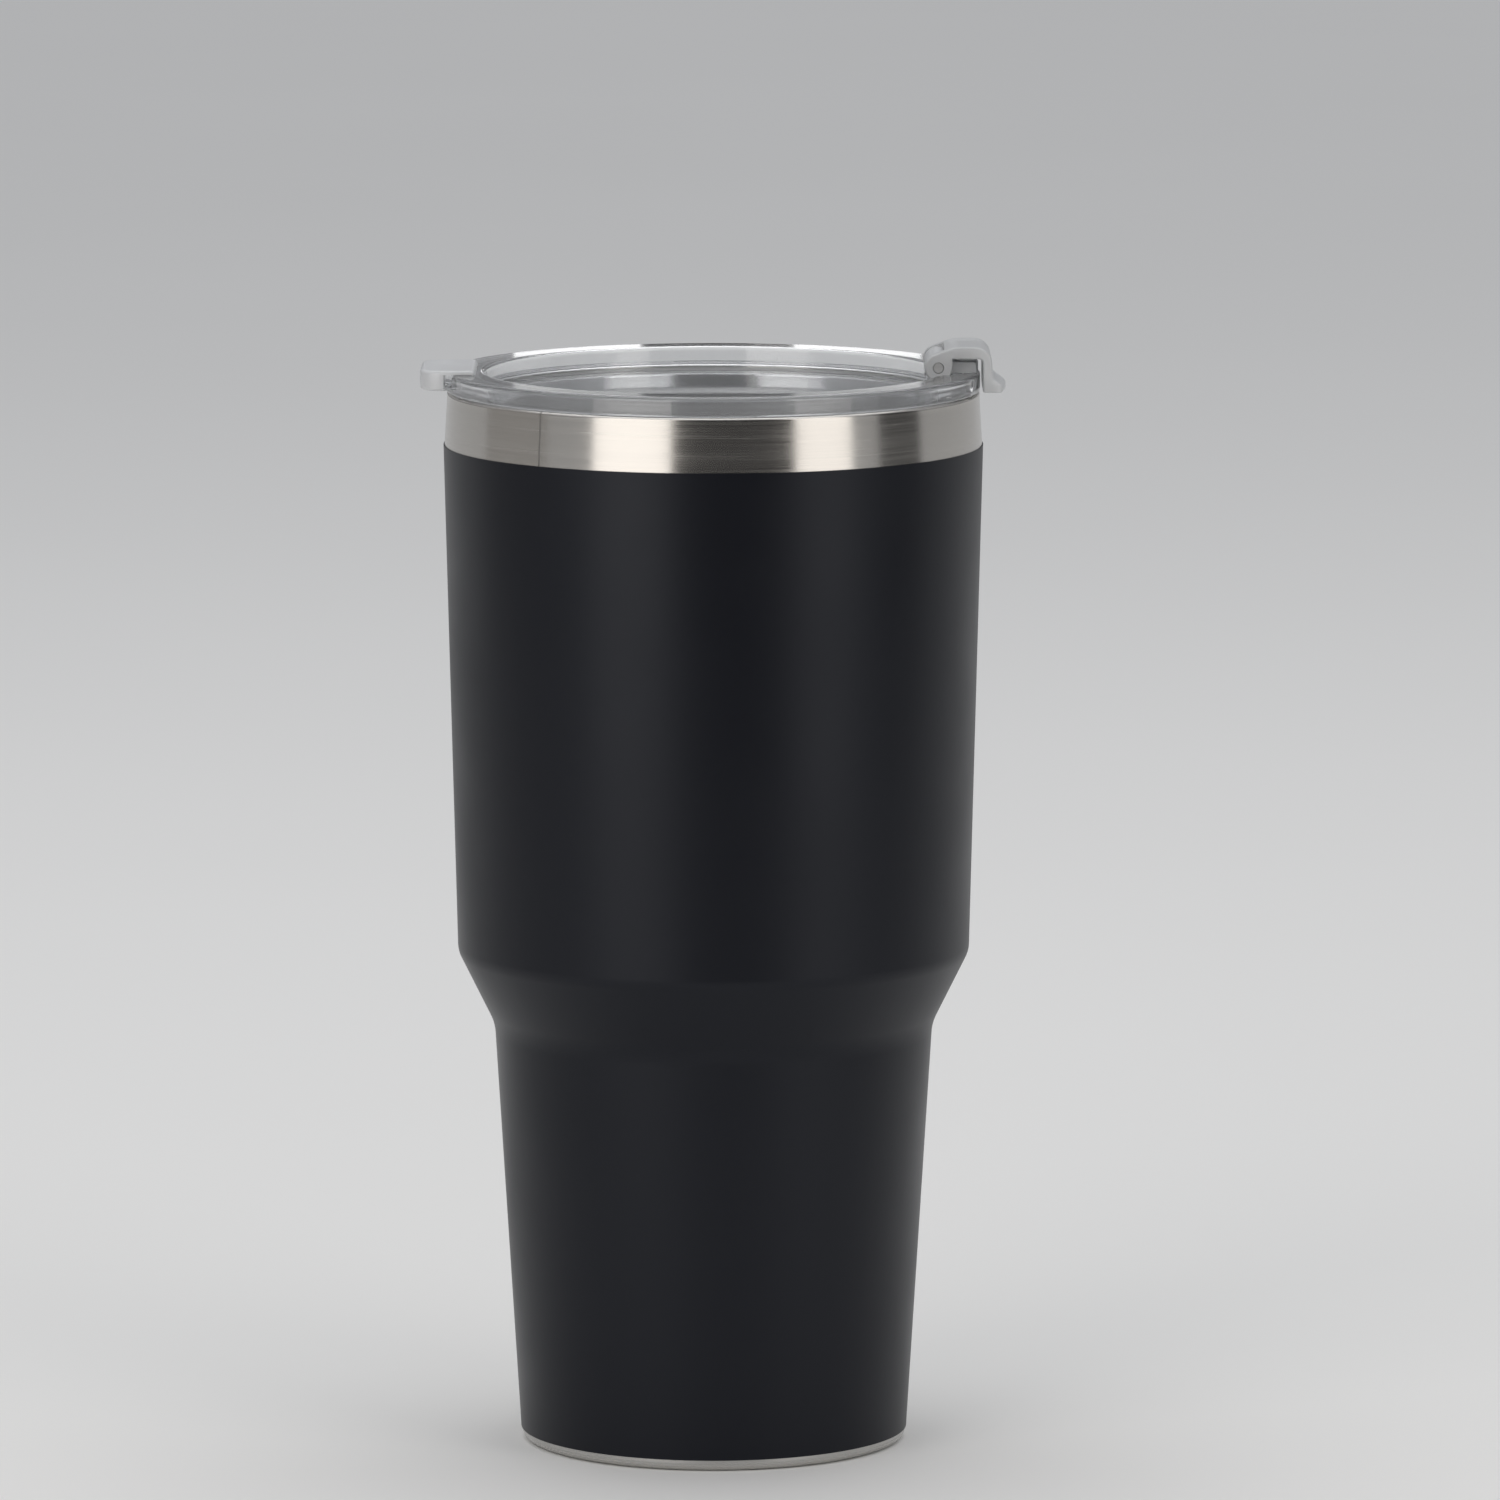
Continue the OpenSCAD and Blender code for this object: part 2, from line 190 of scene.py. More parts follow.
def grid_map(rings, rows, steps):
    """Map of a turned surface, for each corner of each face in turn: U is the way along the
    outline in millimetres, and V is the angle's share of a full turn."""
    way = np.concatenate([[0], np.cumsum(np.linalg.norm(np.diff(rings, axis=0), axis=1))])
    way = np.append(way, way[-1] + np.linalg.norm(rings[0] - rings[-1]))
    u = np.stack([way[:rows], way[:rows], way[1:rows + 1], way[1:rows + 1]], -1)
    v = np.arange(steps)[:, None] + np.array([0, 1, 1, 0])
    uv = np.stack([np.repeat(u[:, None], steps, 1), np.repeat(v[None], rows, 0) / steps], -1)
    return uv.reshape(-1, 2)


def turned(name, outline, centre=(0, 0), steps=TURN_STEPS):
    """Outline of (radius, height) carried round a vertical axis: the point at angle a is
    (x + radius cos a, y + radius sin a, height). It ends on the axis or closes on itself."""
    outline = counter_clockwise(np.array(outline, float))
    poles = outline[0, 0] < ON_AXIS and outline[-1, 0] < ON_AXIS
    rings = outline[1:-1] if poles else outline
    r, z = rings[:, :1], rings[:, 1:]
    angle = np.arange(steps) * 2 * math.pi / steps
    grid = np.stack([centre[0] + r * np.cos(angle), centre[1] + r * np.sin(angle), z + 0 * angle], -1)
    points = grid.reshape(-1, 3)
    number = np.arange(len(points)).reshape(len(rings), steps)
    faces = grid_faces(number, closed=not poles)
    uv = grid_map(rings, len(faces) // steps, steps)
    if poles:
        first, last = len(points), len(points) + 1
        points = np.vstack([points, [*centre, outline[0, 1]], [*centre, outline[-1, 1]]])
        right = np.roll(np.arange(steps), -1)
        fans = [np.stack([np.full(steps, first), number[0][right], number[0]], -1),
                np.stack([np.full(steps, last), number[-1], number[-1][right]], -1)]
        faces += np.vstack(fans).tolist()
        uv = np.vstack([uv, np.tile(POLE_MAP, (2 * steps, 1))])
    piece = made(name, points, faces)
    layer = piece.data.uv_layers.new(name=WALL_MAP)
    layer.data.foreach_set("uv", (uv * [MM, 1]).astype(np.float32).ravel())
    return piece


print("turned surfaces have", TURN_STEPS, "steps round the axis")

# %% [markdown]
# A block with soft edges is a stack of outlines. At each level the outline is a little smaller or
# larger, and the edge's quarter circle says by how much. The stack can lie on its side, or lean,
# because a last function says where the level's two directions and its height go in space. A
# second one may limit the levels, which is how a block's end is rounded in plan.

# %% Stack outlines into a closed block
EDGE_LEVELS, EDGE_SUPPORT, SHARPEST = 6, 0.04, 0.2


def stack(name, levels):
    """Closed block from a grid of points: levels by points round the outline, by three.
    The side is a function of level and place on the outline, and two flat faces close the ends."""
    levels = np.array(levels, float)
    rows, columns = levels.shape[:2]
    number = np.arange(rows * columns).reshape(rows, columns)
    faces = grid_faces(number, closed=False)
    faces += [number[0, ::-1].tolist(), number[-1].tolist()]
    return made(name, levels.reshape(-1, 3), faces)


def inset(outline, gap):
    """Closed counter-clockwise outline drawn in by gap, along the bisector at each point."""
    along = unit(np.roll(outline, -1, 0) - outline)
    left = np.stack([-along[:, 1], along[:, 0]], -1)
    m, n = np.roll(left, 1, 0), left
    return outline + gap * (m + n) / np.maximum(1 + (m * n).sum(1, keepdims=True), SHARPEST)


def upright(u, v, h):
    """Outline in the X-Y plane, stacked along Z."""
    return np.stack([u, v, h], -1)


def across(u, v, h):
    """Outline in the X-Z plane, stacked along -Y."""
    return np.stack([u, -h, v], -1)


def block(name, outline, low, high, edge, place=upright, mid_levels=(), limit=None):
    """Outline stacked from low to high with quarter-round edges. At w from 0 to 90 degrees an
    edge's level is drawn in by edge (1 - sin w), and lies edge (1 - cos w) from the end."""
    outline = counter_clockwise(np.array(outline, float))
    w = np.linspace(0, math.pi / 2, EDGE_LEVELS) if edge > 0 else np.array([0.0])
    inward, rise = edge * (1 - np.sin(w)), edge * (1 - np.cos(w))
    if edge > 0:
        inward, rise = np.append(edge + EDGE_SUPPORT, inward), np.append(0, rise)
    middle = np.array(sorted(mid_levels), float)
    inward = np.concatenate([inward, 0 * middle, inward[::-1]])
    height = np.concatenate([low + rise, middle, (high - rise)[::-1]])
    flat = np.stack([inset(outline, gap) for gap in inward])
    u, v = flat[..., 0], flat[..., 1]
    h = np.repeat(height[:, None], len(outline), 1)
    if limit is not None:
        u = limit(u, h, inward[:, None])
    return stack(name, place(u, v, h))


def box_outline(x0, y0, x1, y1, radius=0.0):
    """Rectangle from one corner to the opposite one, with rounded corners."""
    return rounded([[x0, y0], [x1, y0], [x1, y1], [x0, y1]], [radius] * 4)


def circle(x, z, radius, steps=64):
    """Points at equal angles a round a centre, at (x + radius cos a, z + radius sin a)."""
    angle = np.arange(steps) * 2 * math.pi / steps
    return np.stack([x + radius * np.cos(angle), z + radius * np.sin(angle)], -1)


print("one level of a rounded block has", len(box_outline(0, 0, 9, 9, 2)), "points")

# %% [markdown]
# A moulded part is often a simple solid with holes in it. The Boolean modifier joins or cuts two
# closed meshes. Its result is kept as the piece's own mesh, and the tool that cut it is thrown
# away, so that the finished piece carries no live modifier. A finished piece is shaded smooth,
# except across edges sharper than 30 degrees.

# %% Join and cut
SMOOTH_BELOW = math.radians(30)


def combine(piece, tool, how):
    """Piece's mesh, exactly joined with the tool's or cut by it. The tool is used up."""
    change = piece.modifiers.new("combine", "BOOLEAN")
    change.operation, change.solver, change.object = how, "EXACT", tool
    result = piece.evaluated_get(bpy.context.evaluated_depsgraph_get())
    old, piece_mesh = piece.data, bpy.data.meshes.new_from_object(result)
    piece.modifiers.clear()
    piece.data = piece_mesh
    spent = tool.data
    bpy.data.objects.remove(tool)
    for mesh in (old, spent):
        bpy.data.meshes.remove(mesh)


def join(piece, tool):
    """Piece with the tool's shape added."""
    combine(piece, tool, "UNION")


def cut(piece, tool):
    """Piece with the tool's shape taken away."""
    combine(piece, tool, "DIFFERENCE")


def finish(piece, body, node, material):
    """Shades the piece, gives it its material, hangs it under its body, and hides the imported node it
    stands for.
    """
    mesh = piece.data
    mesh.shade_smooth()
    mesh.set_sharp_from_angle(angle=SMOOTH_BELOW)
    mesh.materials.clear()
    mesh.materials.append(material)
    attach(piece, body)
    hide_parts(node)
    triangles = sum(len(f.vertices) - 2 for f in mesh.polygons)
    print(piece.name, "has", triangles, "triangles")


# %% [markdown]
# ## Finishes
# Each finish is one shader with a few patterns on it, in the object's own coordinates, so that it
# needs no unwrapping and stays in place when a piece moves. One helper makes the shader, and a
# second stretches a noise pattern: long in one direction and fine in another, it looks like the
# lines that a brush leaves.

# %% Helpers for finishes


def finish_named(name, **values):
    """New material, and its one shader with these values set on its own sockets."""
    material = bpy.data.materials.new(name)
    material.use_nodes = True
    shader = material.node_tree.nodes["Principled BSDF"]
    for socket, value in values.items():
        shader.inputs[socket.replace("_", " ")].default_value = value
    return material, material.node_tree, shader


def calc(tree, operation, *values):
    """A maths node. Each value is a number or the output of another node."""
    node = tree.nodes.new("ShaderNodeMath")
    node.operation = operation
    for socket, value in zip(node.inputs, values):
        if isinstance(value, (int, float)):
            socket.default_value = value
        else:
            tree.links.new(value, socket)
    return node.outputs[0]


def place_of(tree):
    """Place on the piece, in the object's own coordinates, in metres."""
    return tree.nodes.new("ShaderNodeTexCoord").outputs["Object"]


def parts_of(tree, vector):
    """The X, Y and Z of a vector."""
    split = tree.nodes.new("ShaderNodeSeparateXYZ")
    tree.links.new(vector, split.inputs[0])
    return split.outputs


def noise(tree, vector, per_metre, detail=2.0, rough=0.5):
    """Noise with this many cells to the metre along X, Y and Z, or along all three."""
    scale = (per_metre,) * 3 if isinstance(per_metre, (int, float)) else per_metre
    stretch = tree.nodes.new("ShaderNodeMapping")
    stretch.inputs["Scale"].default_value = scale
    tree.links.new(vector, stretch.inputs["Vector"])
    node = tree.nodes.new("ShaderNodeTexNoise")
    node.inputs["Scale"].default_value = 1.0
    node.inputs["Detail"].default_value = detail
    node.inputs["Roughness"].default_value = rough
    tree.links.new(stretch.outputs["Vector"], node.inputs["Vector"])
    return node.outputs["Fac"]


def between(tree, value, low, high, from_low=0.0, from_high=1.0):
    """Value carried from one range to another."""
    node = tree.nodes.new("ShaderNodeMapRange")
    for socket, number in zip(("From Min", "From Max", "To Min", "To Max"),
                              (from_low, from_high, low, high)):
        node.inputs[socket].default_value = number
    tree.links.new(value, node.inputs["Value"])
    return node.outputs["Result"]


def tint(tree, amount, first, second):
    """Mix of two colours by an amount from 0 to 1. The first may be another node's output."""
    node = tree.nodes.new("ShaderNodeMix")
    node.data_type = "RGBA"
    tree.links.new(amount, node.inputs["Factor"])
    if isinstance(first, bpy.types.NodeSocket):
        tree.links.new(first, node.inputs["A"])
    else:
        node.inputs["A"].default_value = (*first, 1)
    node.inputs["B"].default_value = (*second, 1)
    return node.outputs["Result"]


def relief(tree, shader, height, depth_mm, strength=1.0):
    """Bump whose pattern is this deep, in millimetres."""
    node = tree.nodes.new("ShaderNodeBump")
    node.inputs["Strength"].default_value = strength
    node.inputs["Distance"].default_value = depth_mm * MM
    tree.links.new(height, node.inputs["Height"])
    tree.links.new(node.outputs["Normal"], shader.inputs["Normal"])


# %% [markdown]
# ### Brushed steel
# The bare walls were turned against an abrasive belt, which leaves fine lines round the cup. On a
# wall, such lines are long round the cup and close together in height. On a disc, such as the base
# cap, they are circles, so the fine direction is the distance from the axis. Two noises make them,
# a fine one and a broader one.

# %% Lines that a belt leaves
LINES_PER_MM, BROAD_LINES_PER_MM = 5.0, 1.25
FINE_SHARE, BROAD_SHARE = 0.6, 0.4
ALONG_DISC = 0.1


def on_disc(tree, spot):
    """Place on a disc, stretched so that lines follow circles: x and y are shrunk, and z gives way
    to the distance from the axis, the square root of x squared plus y squared."""
    x, y = parts_of(tree, spot)[:2]
    squares = [calc(tree, "MULTIPLY", way, way) for way in (x, y)]
    distance = calc(tree, "SQRT", calc(tree, "ADD", *squares))
    merge = tree.nodes.new("ShaderNodeCombineXYZ")
    for socket, way in zip(merge.inputs, (x, y)):
        tree.links.new(calc(tree, "MULTIPLY", way, ALONG_DISC), socket)
    tree.links.new(distance, merge.inputs[2])
    return merge.outputs[0]


def brush_lines(tree, spot):
    """Two noises added up, each with long cells round the cup and short ones in height."""
    fine = noise(tree, spot, (30, 30, LINES_PER_MM / MM), 3.0, 0.6)
    broad = noise(tree, spot, (12, 12, BROAD_LINES_PER_MM / MM), 2.0)
    return calc(tree, "ADD", calc(tree, "MULTIPLY", fine, FINE_SHARE),
                calc(tree, "MULTIPLY", broad, BROAD_SHARE))


print("fine lines", 1 / LINES_PER_MM, "mm wide, broad ones", 1 / BROAD_LINES_PER_MM, "mm")

# %% [markdown]
# The outer wall was rolled from flat sheet, and its lengthwise weld shows as one thin upright line.
# It is the place where the distance from an upright plane through the axis is less than half the
# line's width, on the side of the axis that the seam is on.

# %% Seam
SEAM_DIRECTION = math.radians(-129.5)
SEAM_HALF_WIDTH = 0.22
SEAM_SHADE, SEAM_ROUGHER = 0.55, 0.12


def dot(tree, vector, way):
    """Length of a vector along a direction: the sum of the products of their parts."""
    node = tree.nodes.new("ShaderNodeVectorMath")
    node.operation = "DOT_PRODUCT"
    node.inputs[1].default_value = way
    tree.links.new(vector, node.inputs[0])
    return node.outputs["Value"]


def on_seam(tree, spot):
    """1 on the seam and 0 elsewhere."""
    toward = (math.cos(SEAM_DIRECTION), math.sin(SEAM_DIRECTION), 0)
    sideways = dot(tree, spot, (toward[1], -toward[0], 0))
    close = calc(tree, "LESS_THAN", calc(tree, "ABSOLUTE", sideways), SEAM_HALF_WIDTH * MM)
    return calc(tree, "MULTIPLY", close, calc(tree, "GREATER_THAN", dot(tree, spot, toward), 0.0))


print("the seam is", 2 * SEAM_HALF_WIDTH, "mm wide")

# %% [markdown]
# Brushed lines smear a highlight across themselves, so the shader's highlight is stretched along
# the wall's map. The lines also change the roughness and the colour a little. The outer wall, the
# liner, the base, the strap and the pin are the same shader with other values.

# %% Steels
SMOOTHER, ROUGHER = 0.05, 0.07
LINES_SPREAD = (0.3, 0.7)
LINE_SHADE, LINE_DEPTH = 0.9, 0.004


def steel(name, colour, roughness, brushed=0.0, flat=False, seam=False):
    """Steel whose brushed lines run round a wall or, if flat, round the middle of a disc."""
    material, tree, shader = finish_named(name, Metallic=1.0, Base_Color=(*colour, 1),
                                          Anisotropic=brushed)
    if brushed > 0:
        tangent = tree.nodes.new("ShaderNodeTangent")
        tangent.direction_type, tangent.uv_map = "UV_MAP", WALL_MAP
        tree.links.new(tangent.outputs["Tangent"], shader.inputs["Tangent"])
    spot = place_of(tree)
    lines = brush_lines(tree, on_disc(tree, spot) if flat else spot)
    rough = between(tree, lines, roughness - SMOOTHER, roughness + ROUGHER, *LINES_SPREAD)
    dark_lines = [LINE_SHADE * c for c in colour]
    shade = tint(tree, between(tree, lines, 0, 1, *LINES_SPREAD), dark_lines, colour)
    if seam:
        line = on_seam(tree, spot)
        shade = tint(tree, line, shade, [SEAM_SHADE * c for c in colour])
        rough = calc(tree, "ADD", rough, calc(tree, "MULTIPLY", line, SEAM_ROUGHER))
    tree.links.new(shade, shader.inputs["Base Color"])
    tree.links.new(rough, shader.inputs["Roughness"])
    relief(tree, shader, lines, LINE_DEPTH, 0.5)
    return material


BAND_STEEL = steel("band_steel", (0.60, 0.575, 0.54), 0.22, 0.8, seam=True)
LINER_STEEL = steel("liner_steel", (0.70, 0.69, 0.67), 0.40, 0.97)
BASE_STEEL = steel("base_steel", (0.60, 0.59, 0.57), 0.26, 0.7, flat=True)
STRAP_STEEL = steel("strap_steel", (0.55, 0.55, 0.55), 0.30)
PIN_STEEL = steel("pin_steel", (0.72, 0.72, 0.72), 0.52)
print("five steels")

# %% [markdown]
# ### Powder coat
# The coat is a plastic powder that was sprayed on dry and melted in an oven. It dries satin, with
# a very slight orange peel: low bumps about a millimetre apart, and a finer grain on them. Its
# roughness wanders a little over the cup, from handling.

# %% Coat
COAT, tree, shader = finish_named("powder_coat", Base_Color=(0.0032, 0.0036, 0.0062, 1),
                                  Roughness=0.38, Specular_IOR_Level=0.29,
                                  Specular_Tint=(0.88, 0.92, 1.0, 1))
PEEL_PER_METRE, GRAIN_PER_METRE, WEAR_PER_METRE = 900, 3500, 28
LEAST_WORN, MOST_WORN = 0.42, 0.34
GRAIN_SHARE = 0.35
peel = noise(tree, place_of(tree), PEEL_PER_METRE, 2.0)
grain = noise(tree, place_of(tree), GRAIN_PER_METRE, 1.0)
worn = noise(tree, place_of(tree), WEAR_PER_METRE, 3.0)
tree.links.new(between(tree, worn, MOST_WORN, LEAST_WORN, 0.3, 0.7), shader.inputs["Roughness"])
relief(tree, shader, calc(tree, "ADD", peel, calc(tree, "MULTIPLY", grain, GRAIN_SHARE)), 0.02, 0.35)
print("powder coat ready")

# %% [markdown]
# ### Clear plastic and silicone
# The lid is injection moulded from a clear copolyester. It bends and mirrors light as glass does,
# with a slightly grey cast, and its faces are never perfectly flat, which a long, shallow noise
# gives. The flip cap is of a hazier grade, which looks pale grey. The gasket and the pad are
# milky silicone: dull, and letting some light in.

# %% Plastics
PLASTIC_IOR, SILICONE_IOR = 1.54, 1.41
WAVES_PER_METRE, WAVE_MM = 90, 0.01


def clear(name, colour, roughness, clearness):
    """Moulded plastic: roughness hazes it, and clearness is the share of light that goes in."""
    material, tree, shader = finish_named(name, Base_Color=(*colour, 1), Roughness=roughness,
                                          IOR=PLASTIC_IOR, Transmission_Weight=clearness)
    relief(tree, shader, noise(tree, place_of(tree), WAVES_PER_METRE, 1.0), WAVE_MM, 0.4)
    return material


FLIP_PLASTIC = clear("flip_plastic", (0.74, 0.75, 0.755), 0.34, 0.42)
SILICONE, tree, shader = finish_named("silicone", Base_Color=(0.72, 0.73, 0.74, 1), Roughness=0.55,
                                      Transmission_Weight=0.35, IOR=SILICONE_IOR)
relief(tree, shader, noise(tree, place_of(tree), 600, 2.0), WAVE_MM, 0.4)
print("plastics ready")

# %% [markdown]
# ### What is inside the vacuum space
# Copper foil round the liner turns heat back. It is wrapped by hand and crinkles. The pump-out hole
# in the base is closed by a bead of solder glass, and a pressed tablet, grey and grainy, soaks up
# the last gas.

# %% Foil, glass and tablet
FOIL, tree, shader = finish_named("copper_foil", Metallic=1.0, Base_Color=(0.83, 0.46, 0.30, 1),
                                  Roughness=0.25)
crinkle = noise(tree, place_of(tree), (160, 160, 60), 4.0, 0.6)
relief(tree, shader, crinkle, 0.35, 0.6)
GLASS, tree, shader = finish_named("solder_glass", Base_Color=(0.16, 0.24, 0.17, 1), Roughness=0.12,
                                   IOR=1.6, Transmission_Weight=0.5)
relief(tree, shader, noise(tree, place_of(tree), 500, 1.0), 0.05, 0.3)
GETTER, tree, shader = finish_named("getter_tablet", Metallic=0.6, Roughness=0.75)
speck = noise(tree, place_of(tree), 2500, 2.0)
SOOT, ASH = (0.06, 0.06, 0.065), (0.22, 0.22, 0.23)
tree.links.new(tint(tree, speck, SOOT, ASH), shader.inputs["Base Color"])
relief(tree, shader, speck, 0.05, 0.6)
print("vacuum space finishes ready")

# %% [markdown]
# ## The cup
# ### Outer wall and coat
# The outer wall is a thin steel tube that water pressure has swollen into a stepped shape: narrow
# below, to stand in a cup holder, and wide above. The same line, drawn once from the base to the
# lip, gives the steel and the coat over it. The two bends, under the shoulder and over it, have the
# same radii in every wall of the cup.

# %% The wall's line
SHEET, VACUUM, COAT_T = 0.5, 2.8, 0.2
BASE_R, NECK_R, BELLY_LOW_R = 36.3, 41.25, 48.15
SHOULDER_LOW, SHOULDER_HIGH = 79.9, 93.8
STEP_BENDS = [10, 5]
SHELL_FOOT, COAT_FOOT = reach("outer_shell")[0][2], reach("powder_coat")[0][2]
BELLY_R = reach("powder_coat")[1][0] - COAT_T
LIP_R = reach("rim_weld")[1][0]
WELD_Z = reach("rim_weld")[0][2]


def lower_r(z):
    """Radius of the straight, tapered lower wall at a height."""
    return BASE_R + (NECK_R - BASE_R) * z / SHOULDER_LOW


wall_line = [[NECK_R, SHOULDER_LOW], [BELLY_LOW_R, SHOULDER_HIGH], [BELLY_R, COAT_TOP]]
print("wall from", BASE_R, "mm at the base to", round(BELLY_R, 2), "mm under the band")

# %% [markdown]
# Both are sheets along that line, one on either side of it: the steel lies inside, and the coat
# outside. The steel goes on straight up to the lip. The coat stops below it, where the line is
# masked before spraying, and that leaves the bare band.

# %% Outer wall and coat
LIP_STRAIGHT = 0.8
lip_line = [[LIP_R, WELD_Z - LIP_STRAIGHT], [LIP_R, WELD_Z]]
shell_path = [[lower_r(SHELL_FOOT), SHELL_FOOT]] + wall_line + lip_line
shell_outline = sheet_outline(shell_path, [0, *STEP_BENDS, 0, 0, 0], -SHEET)
outer_shell = turned("outer_shell_steel", shell_outline)
finish(outer_shell, "cup", "outer_shell", BAND_STEEL)

coat_path = [[lower_r(COAT_FOOT), COAT_FOOT]] + wall_line
powder_coat = turned("powder_coat_black", sheet_outline(coat_path, [0, *STEP_BENDS, 0], COAT_T))
finish(powder_coat, "cup", "powder_coat", COAT)

# %% [markdown]
# ### Liner, its bottom and the weld at the lip
# The inner wall follows the outer one at a fixed distance, the width of the vacuum, then runs
# straight where the lid's gasket seals, and flares out to meet the outer wall at the lip. It is the
# outer wall's line moved inwards, which keeps the gap even round the bends.

# %% Liner
WALL = SHEET + VACUUM + SHEET
MOUTH_R = BELLY_R - WALL
LINER_FOOT = reach("inner_liner")[0][2]
LIP_T = 1.1
SEAL_LOW, FLARE_LOW, FLARE_HIGH = COAT_TOP - 6, LIP_Z - 5.4, WELD_Z - 1.2
lip_in_r = LIP_R - LIP_T
inner_line = moved([[BASE_R, 0]] + wall_line, -WALL)
liner_path = [[lower_r(LINER_FOOT) - WALL, LINER_FOOT], inner_line[1], inner_line[2],
              [MOUTH_R, SEAL_LOW], [MOUTH_R, FLARE_LOW], [lip_in_r, FLARE_HIGH], [lip_in_r, WELD_Z]]
liner_outline = sheet_outline(liner_path, [0, *STEP_BENDS, 0, 3, 1.5, 0], SHEET)
inner_liner = turned("inner_liner_steel", liner_outline)
finish(inner_liner, "cup", "inner_liner", LINER_STEEL)

# %% [markdown]
# The liner's bottom is a thin disc, a little raised in the middle, that is welded to the liner's
# foot. At the lip a round bead of weld, ground smooth, closes the vacuum. Both are turned too.

# %% Liner's bottom, and the weld
DOME_RISE, DOME_R, EDGE_GAP = 0.6, 5, 0.3
floor_z = reach("liner_bottom")[0][2] + SHEET
bottom_path = [[0, floor_z + DOME_RISE], [DOME_R, floor_z + DOME_RISE],
               [liner_path[0][0] - EDGE_GAP, floor_z], liner_path[0]]
liner_bottom = turned("liner_bottom_steel", sheet_outline(bottom_path, [0, 8, 3.2, 0], SHEET))
finish(liner_bottom, "cup", "liner_bottom", LINER_STEEL)

BEAD_ROUND = 0.54
bead = [[lip_in_r, WELD_Z], [LIP_R, WELD_Z], [LIP_R, LIP_Z], [lip_in_r, LIP_Z]]
rim_weld = turned("rim_weld_bead", rounded(bead, [0, 0, BEAD_ROUND, BEAD_ROUND]))
finish(rim_weld, "cup", "rim_weld", BAND_STEEL)

# %% [markdown]
# ### The base
# The base is pressed in one go: a rounded corner, a narrow ring that the cup stands on, a recess,
# and a dimple with the pump-out hole. It is sheet, so its line is drawn once, from the wall's foot
# to the hole.

# %% Pressed base
RING_IN_R, RECESS, DIMPLE_R, DIMPLE_Z, HOLE_R = 32.4, 2.0, 3.2, 3.2, 0.6
RECESS_SLANT, DIMPLE_SLANT = 0.6, 2.2
base_path = [[lower_r(SHELL_FOOT), SHELL_FOOT], [BASE_R, 0], [RING_IN_R, 0],
             [RING_IN_R - RECESS_SLANT, RECESS], [DIMPLE_R + DIMPLE_SLANT, RECESS],
             [DIMPLE_R, DIMPLE_Z], [HOLE_R, DIMPLE_Z]]
base_outline = sheet_outline(base_path, [0, 1.8, 0.5, 0.9, 0, 0, 0], SHEET)
vacuum_base = turned("vacuum_base_steel", base_outline)
finish(vacuum_base, "cup", "vacuum_base", BASE_STEEL)

# %% [markdown]
# The glass is melted into the dimple, and a short stub of it stands in the hole. A thin disc with
# one pressed ring hides both. Its brushed lines are circles, which is why it has the base's steel.

# %% Glass and disc
glass_low, glass_r = RECESS + 0.1, DIMPLE_R - 0.5
stub_r, stub_z = HOLE_R - 0.05, DIMPLE_Z + SHEET + 0.1
glass = [[0, glass_low], [glass_r, glass_low], [glass_r, DIMPLE_Z], [stub_r, DIMPLE_Z],
         [stub_r, stub_z], [0, stub_z]]
sealing_glass = turned("sealing_glass_bead", rounded(glass, [0, 0.7, 0, 0, 0, 0]), steps=64)
finish(sealing_glass, "cup", "sealing_glass", GLASS)

CAP_RING_IN, CAP_RING_OUT, CAP_PRESS, PRESS_SLANT, CAP_GAP = 22, 25.4, 0.35, 0.8, 1.3
cap_z = RECESS - 0.75
cap_path = [[0, cap_z], [CAP_RING_IN, cap_z], [CAP_RING_IN + PRESS_SLANT, cap_z - CAP_PRESS],
            [CAP_RING_OUT - PRESS_SLANT, cap_z - CAP_PRESS], [CAP_RING_OUT, cap_z],
            [RING_IN_R - CAP_GAP, cap_z]]
base_cap = turned("base_cap_disc", sheet_outline(cap_path, [0, 0.8, 0.8, 0.8, 0.8, 0], -SHEET))
finish(base_cap, "cup", "base_cap", BASE_STEEL)

# %% [markdown]
# ### Foil, tablet and strap
# These lie between the two walls and are seen only when the pieces are taken apart. The foil keeps
# about half a millimetre away from the liner. The tablet is a flat round pill with worn edges.

# %% Foil and tablet
FOIL_T, FOIL_GAP, FOIL_TOP_GAP = 0.15, 0.5, 0.4
foil_low, foil_high = reach("radiation_foil")[0][2], reach("radiation_foil")[1][2]
foil_line = moved([[BASE_R, 0]] + wall_line, -WALL + SHEET + FOIL_GAP)
foil_path = [[lower_r(foil_low) - WALL + SHEET + FOIL_GAP, foil_low], foil_line[1], foil_line[2],
             [MOUTH_R + SHEET + FOIL_TOP_GAP, foil_high]]
foil_outline = sheet_outline(foil_path, [0, *STEP_BENDS, 0], FOIL_T)
radiation_foil = turned("radiation_foil_copper", foil_outline)
finish(radiation_foil, "cup", "radiation_foil", FOIL)

TABLET_ROUND = 0.25
tablet_low, tablet_high = reach("getter_pellet")
tablet_r = (tablet_high[0] - tablet_low[0]) / 2
tablet_x = (tablet_high[0] + tablet_low[0]) / 2
tablet = [[0, tablet_low[2]], [tablet_r, tablet_low[2]], [tablet_r, tablet_high[2]],
          [0, tablet_high[2]]]
tablet_outline = rounded(tablet, [0, TABLET_ROUND, TABLET_ROUND, 0])
getter_pellet = turned("getter_pellet_grey", tablet_outline, (tablet_x, 0), 64)
finish(getter_pellet, "cup", "getter_pellet", GETTER)

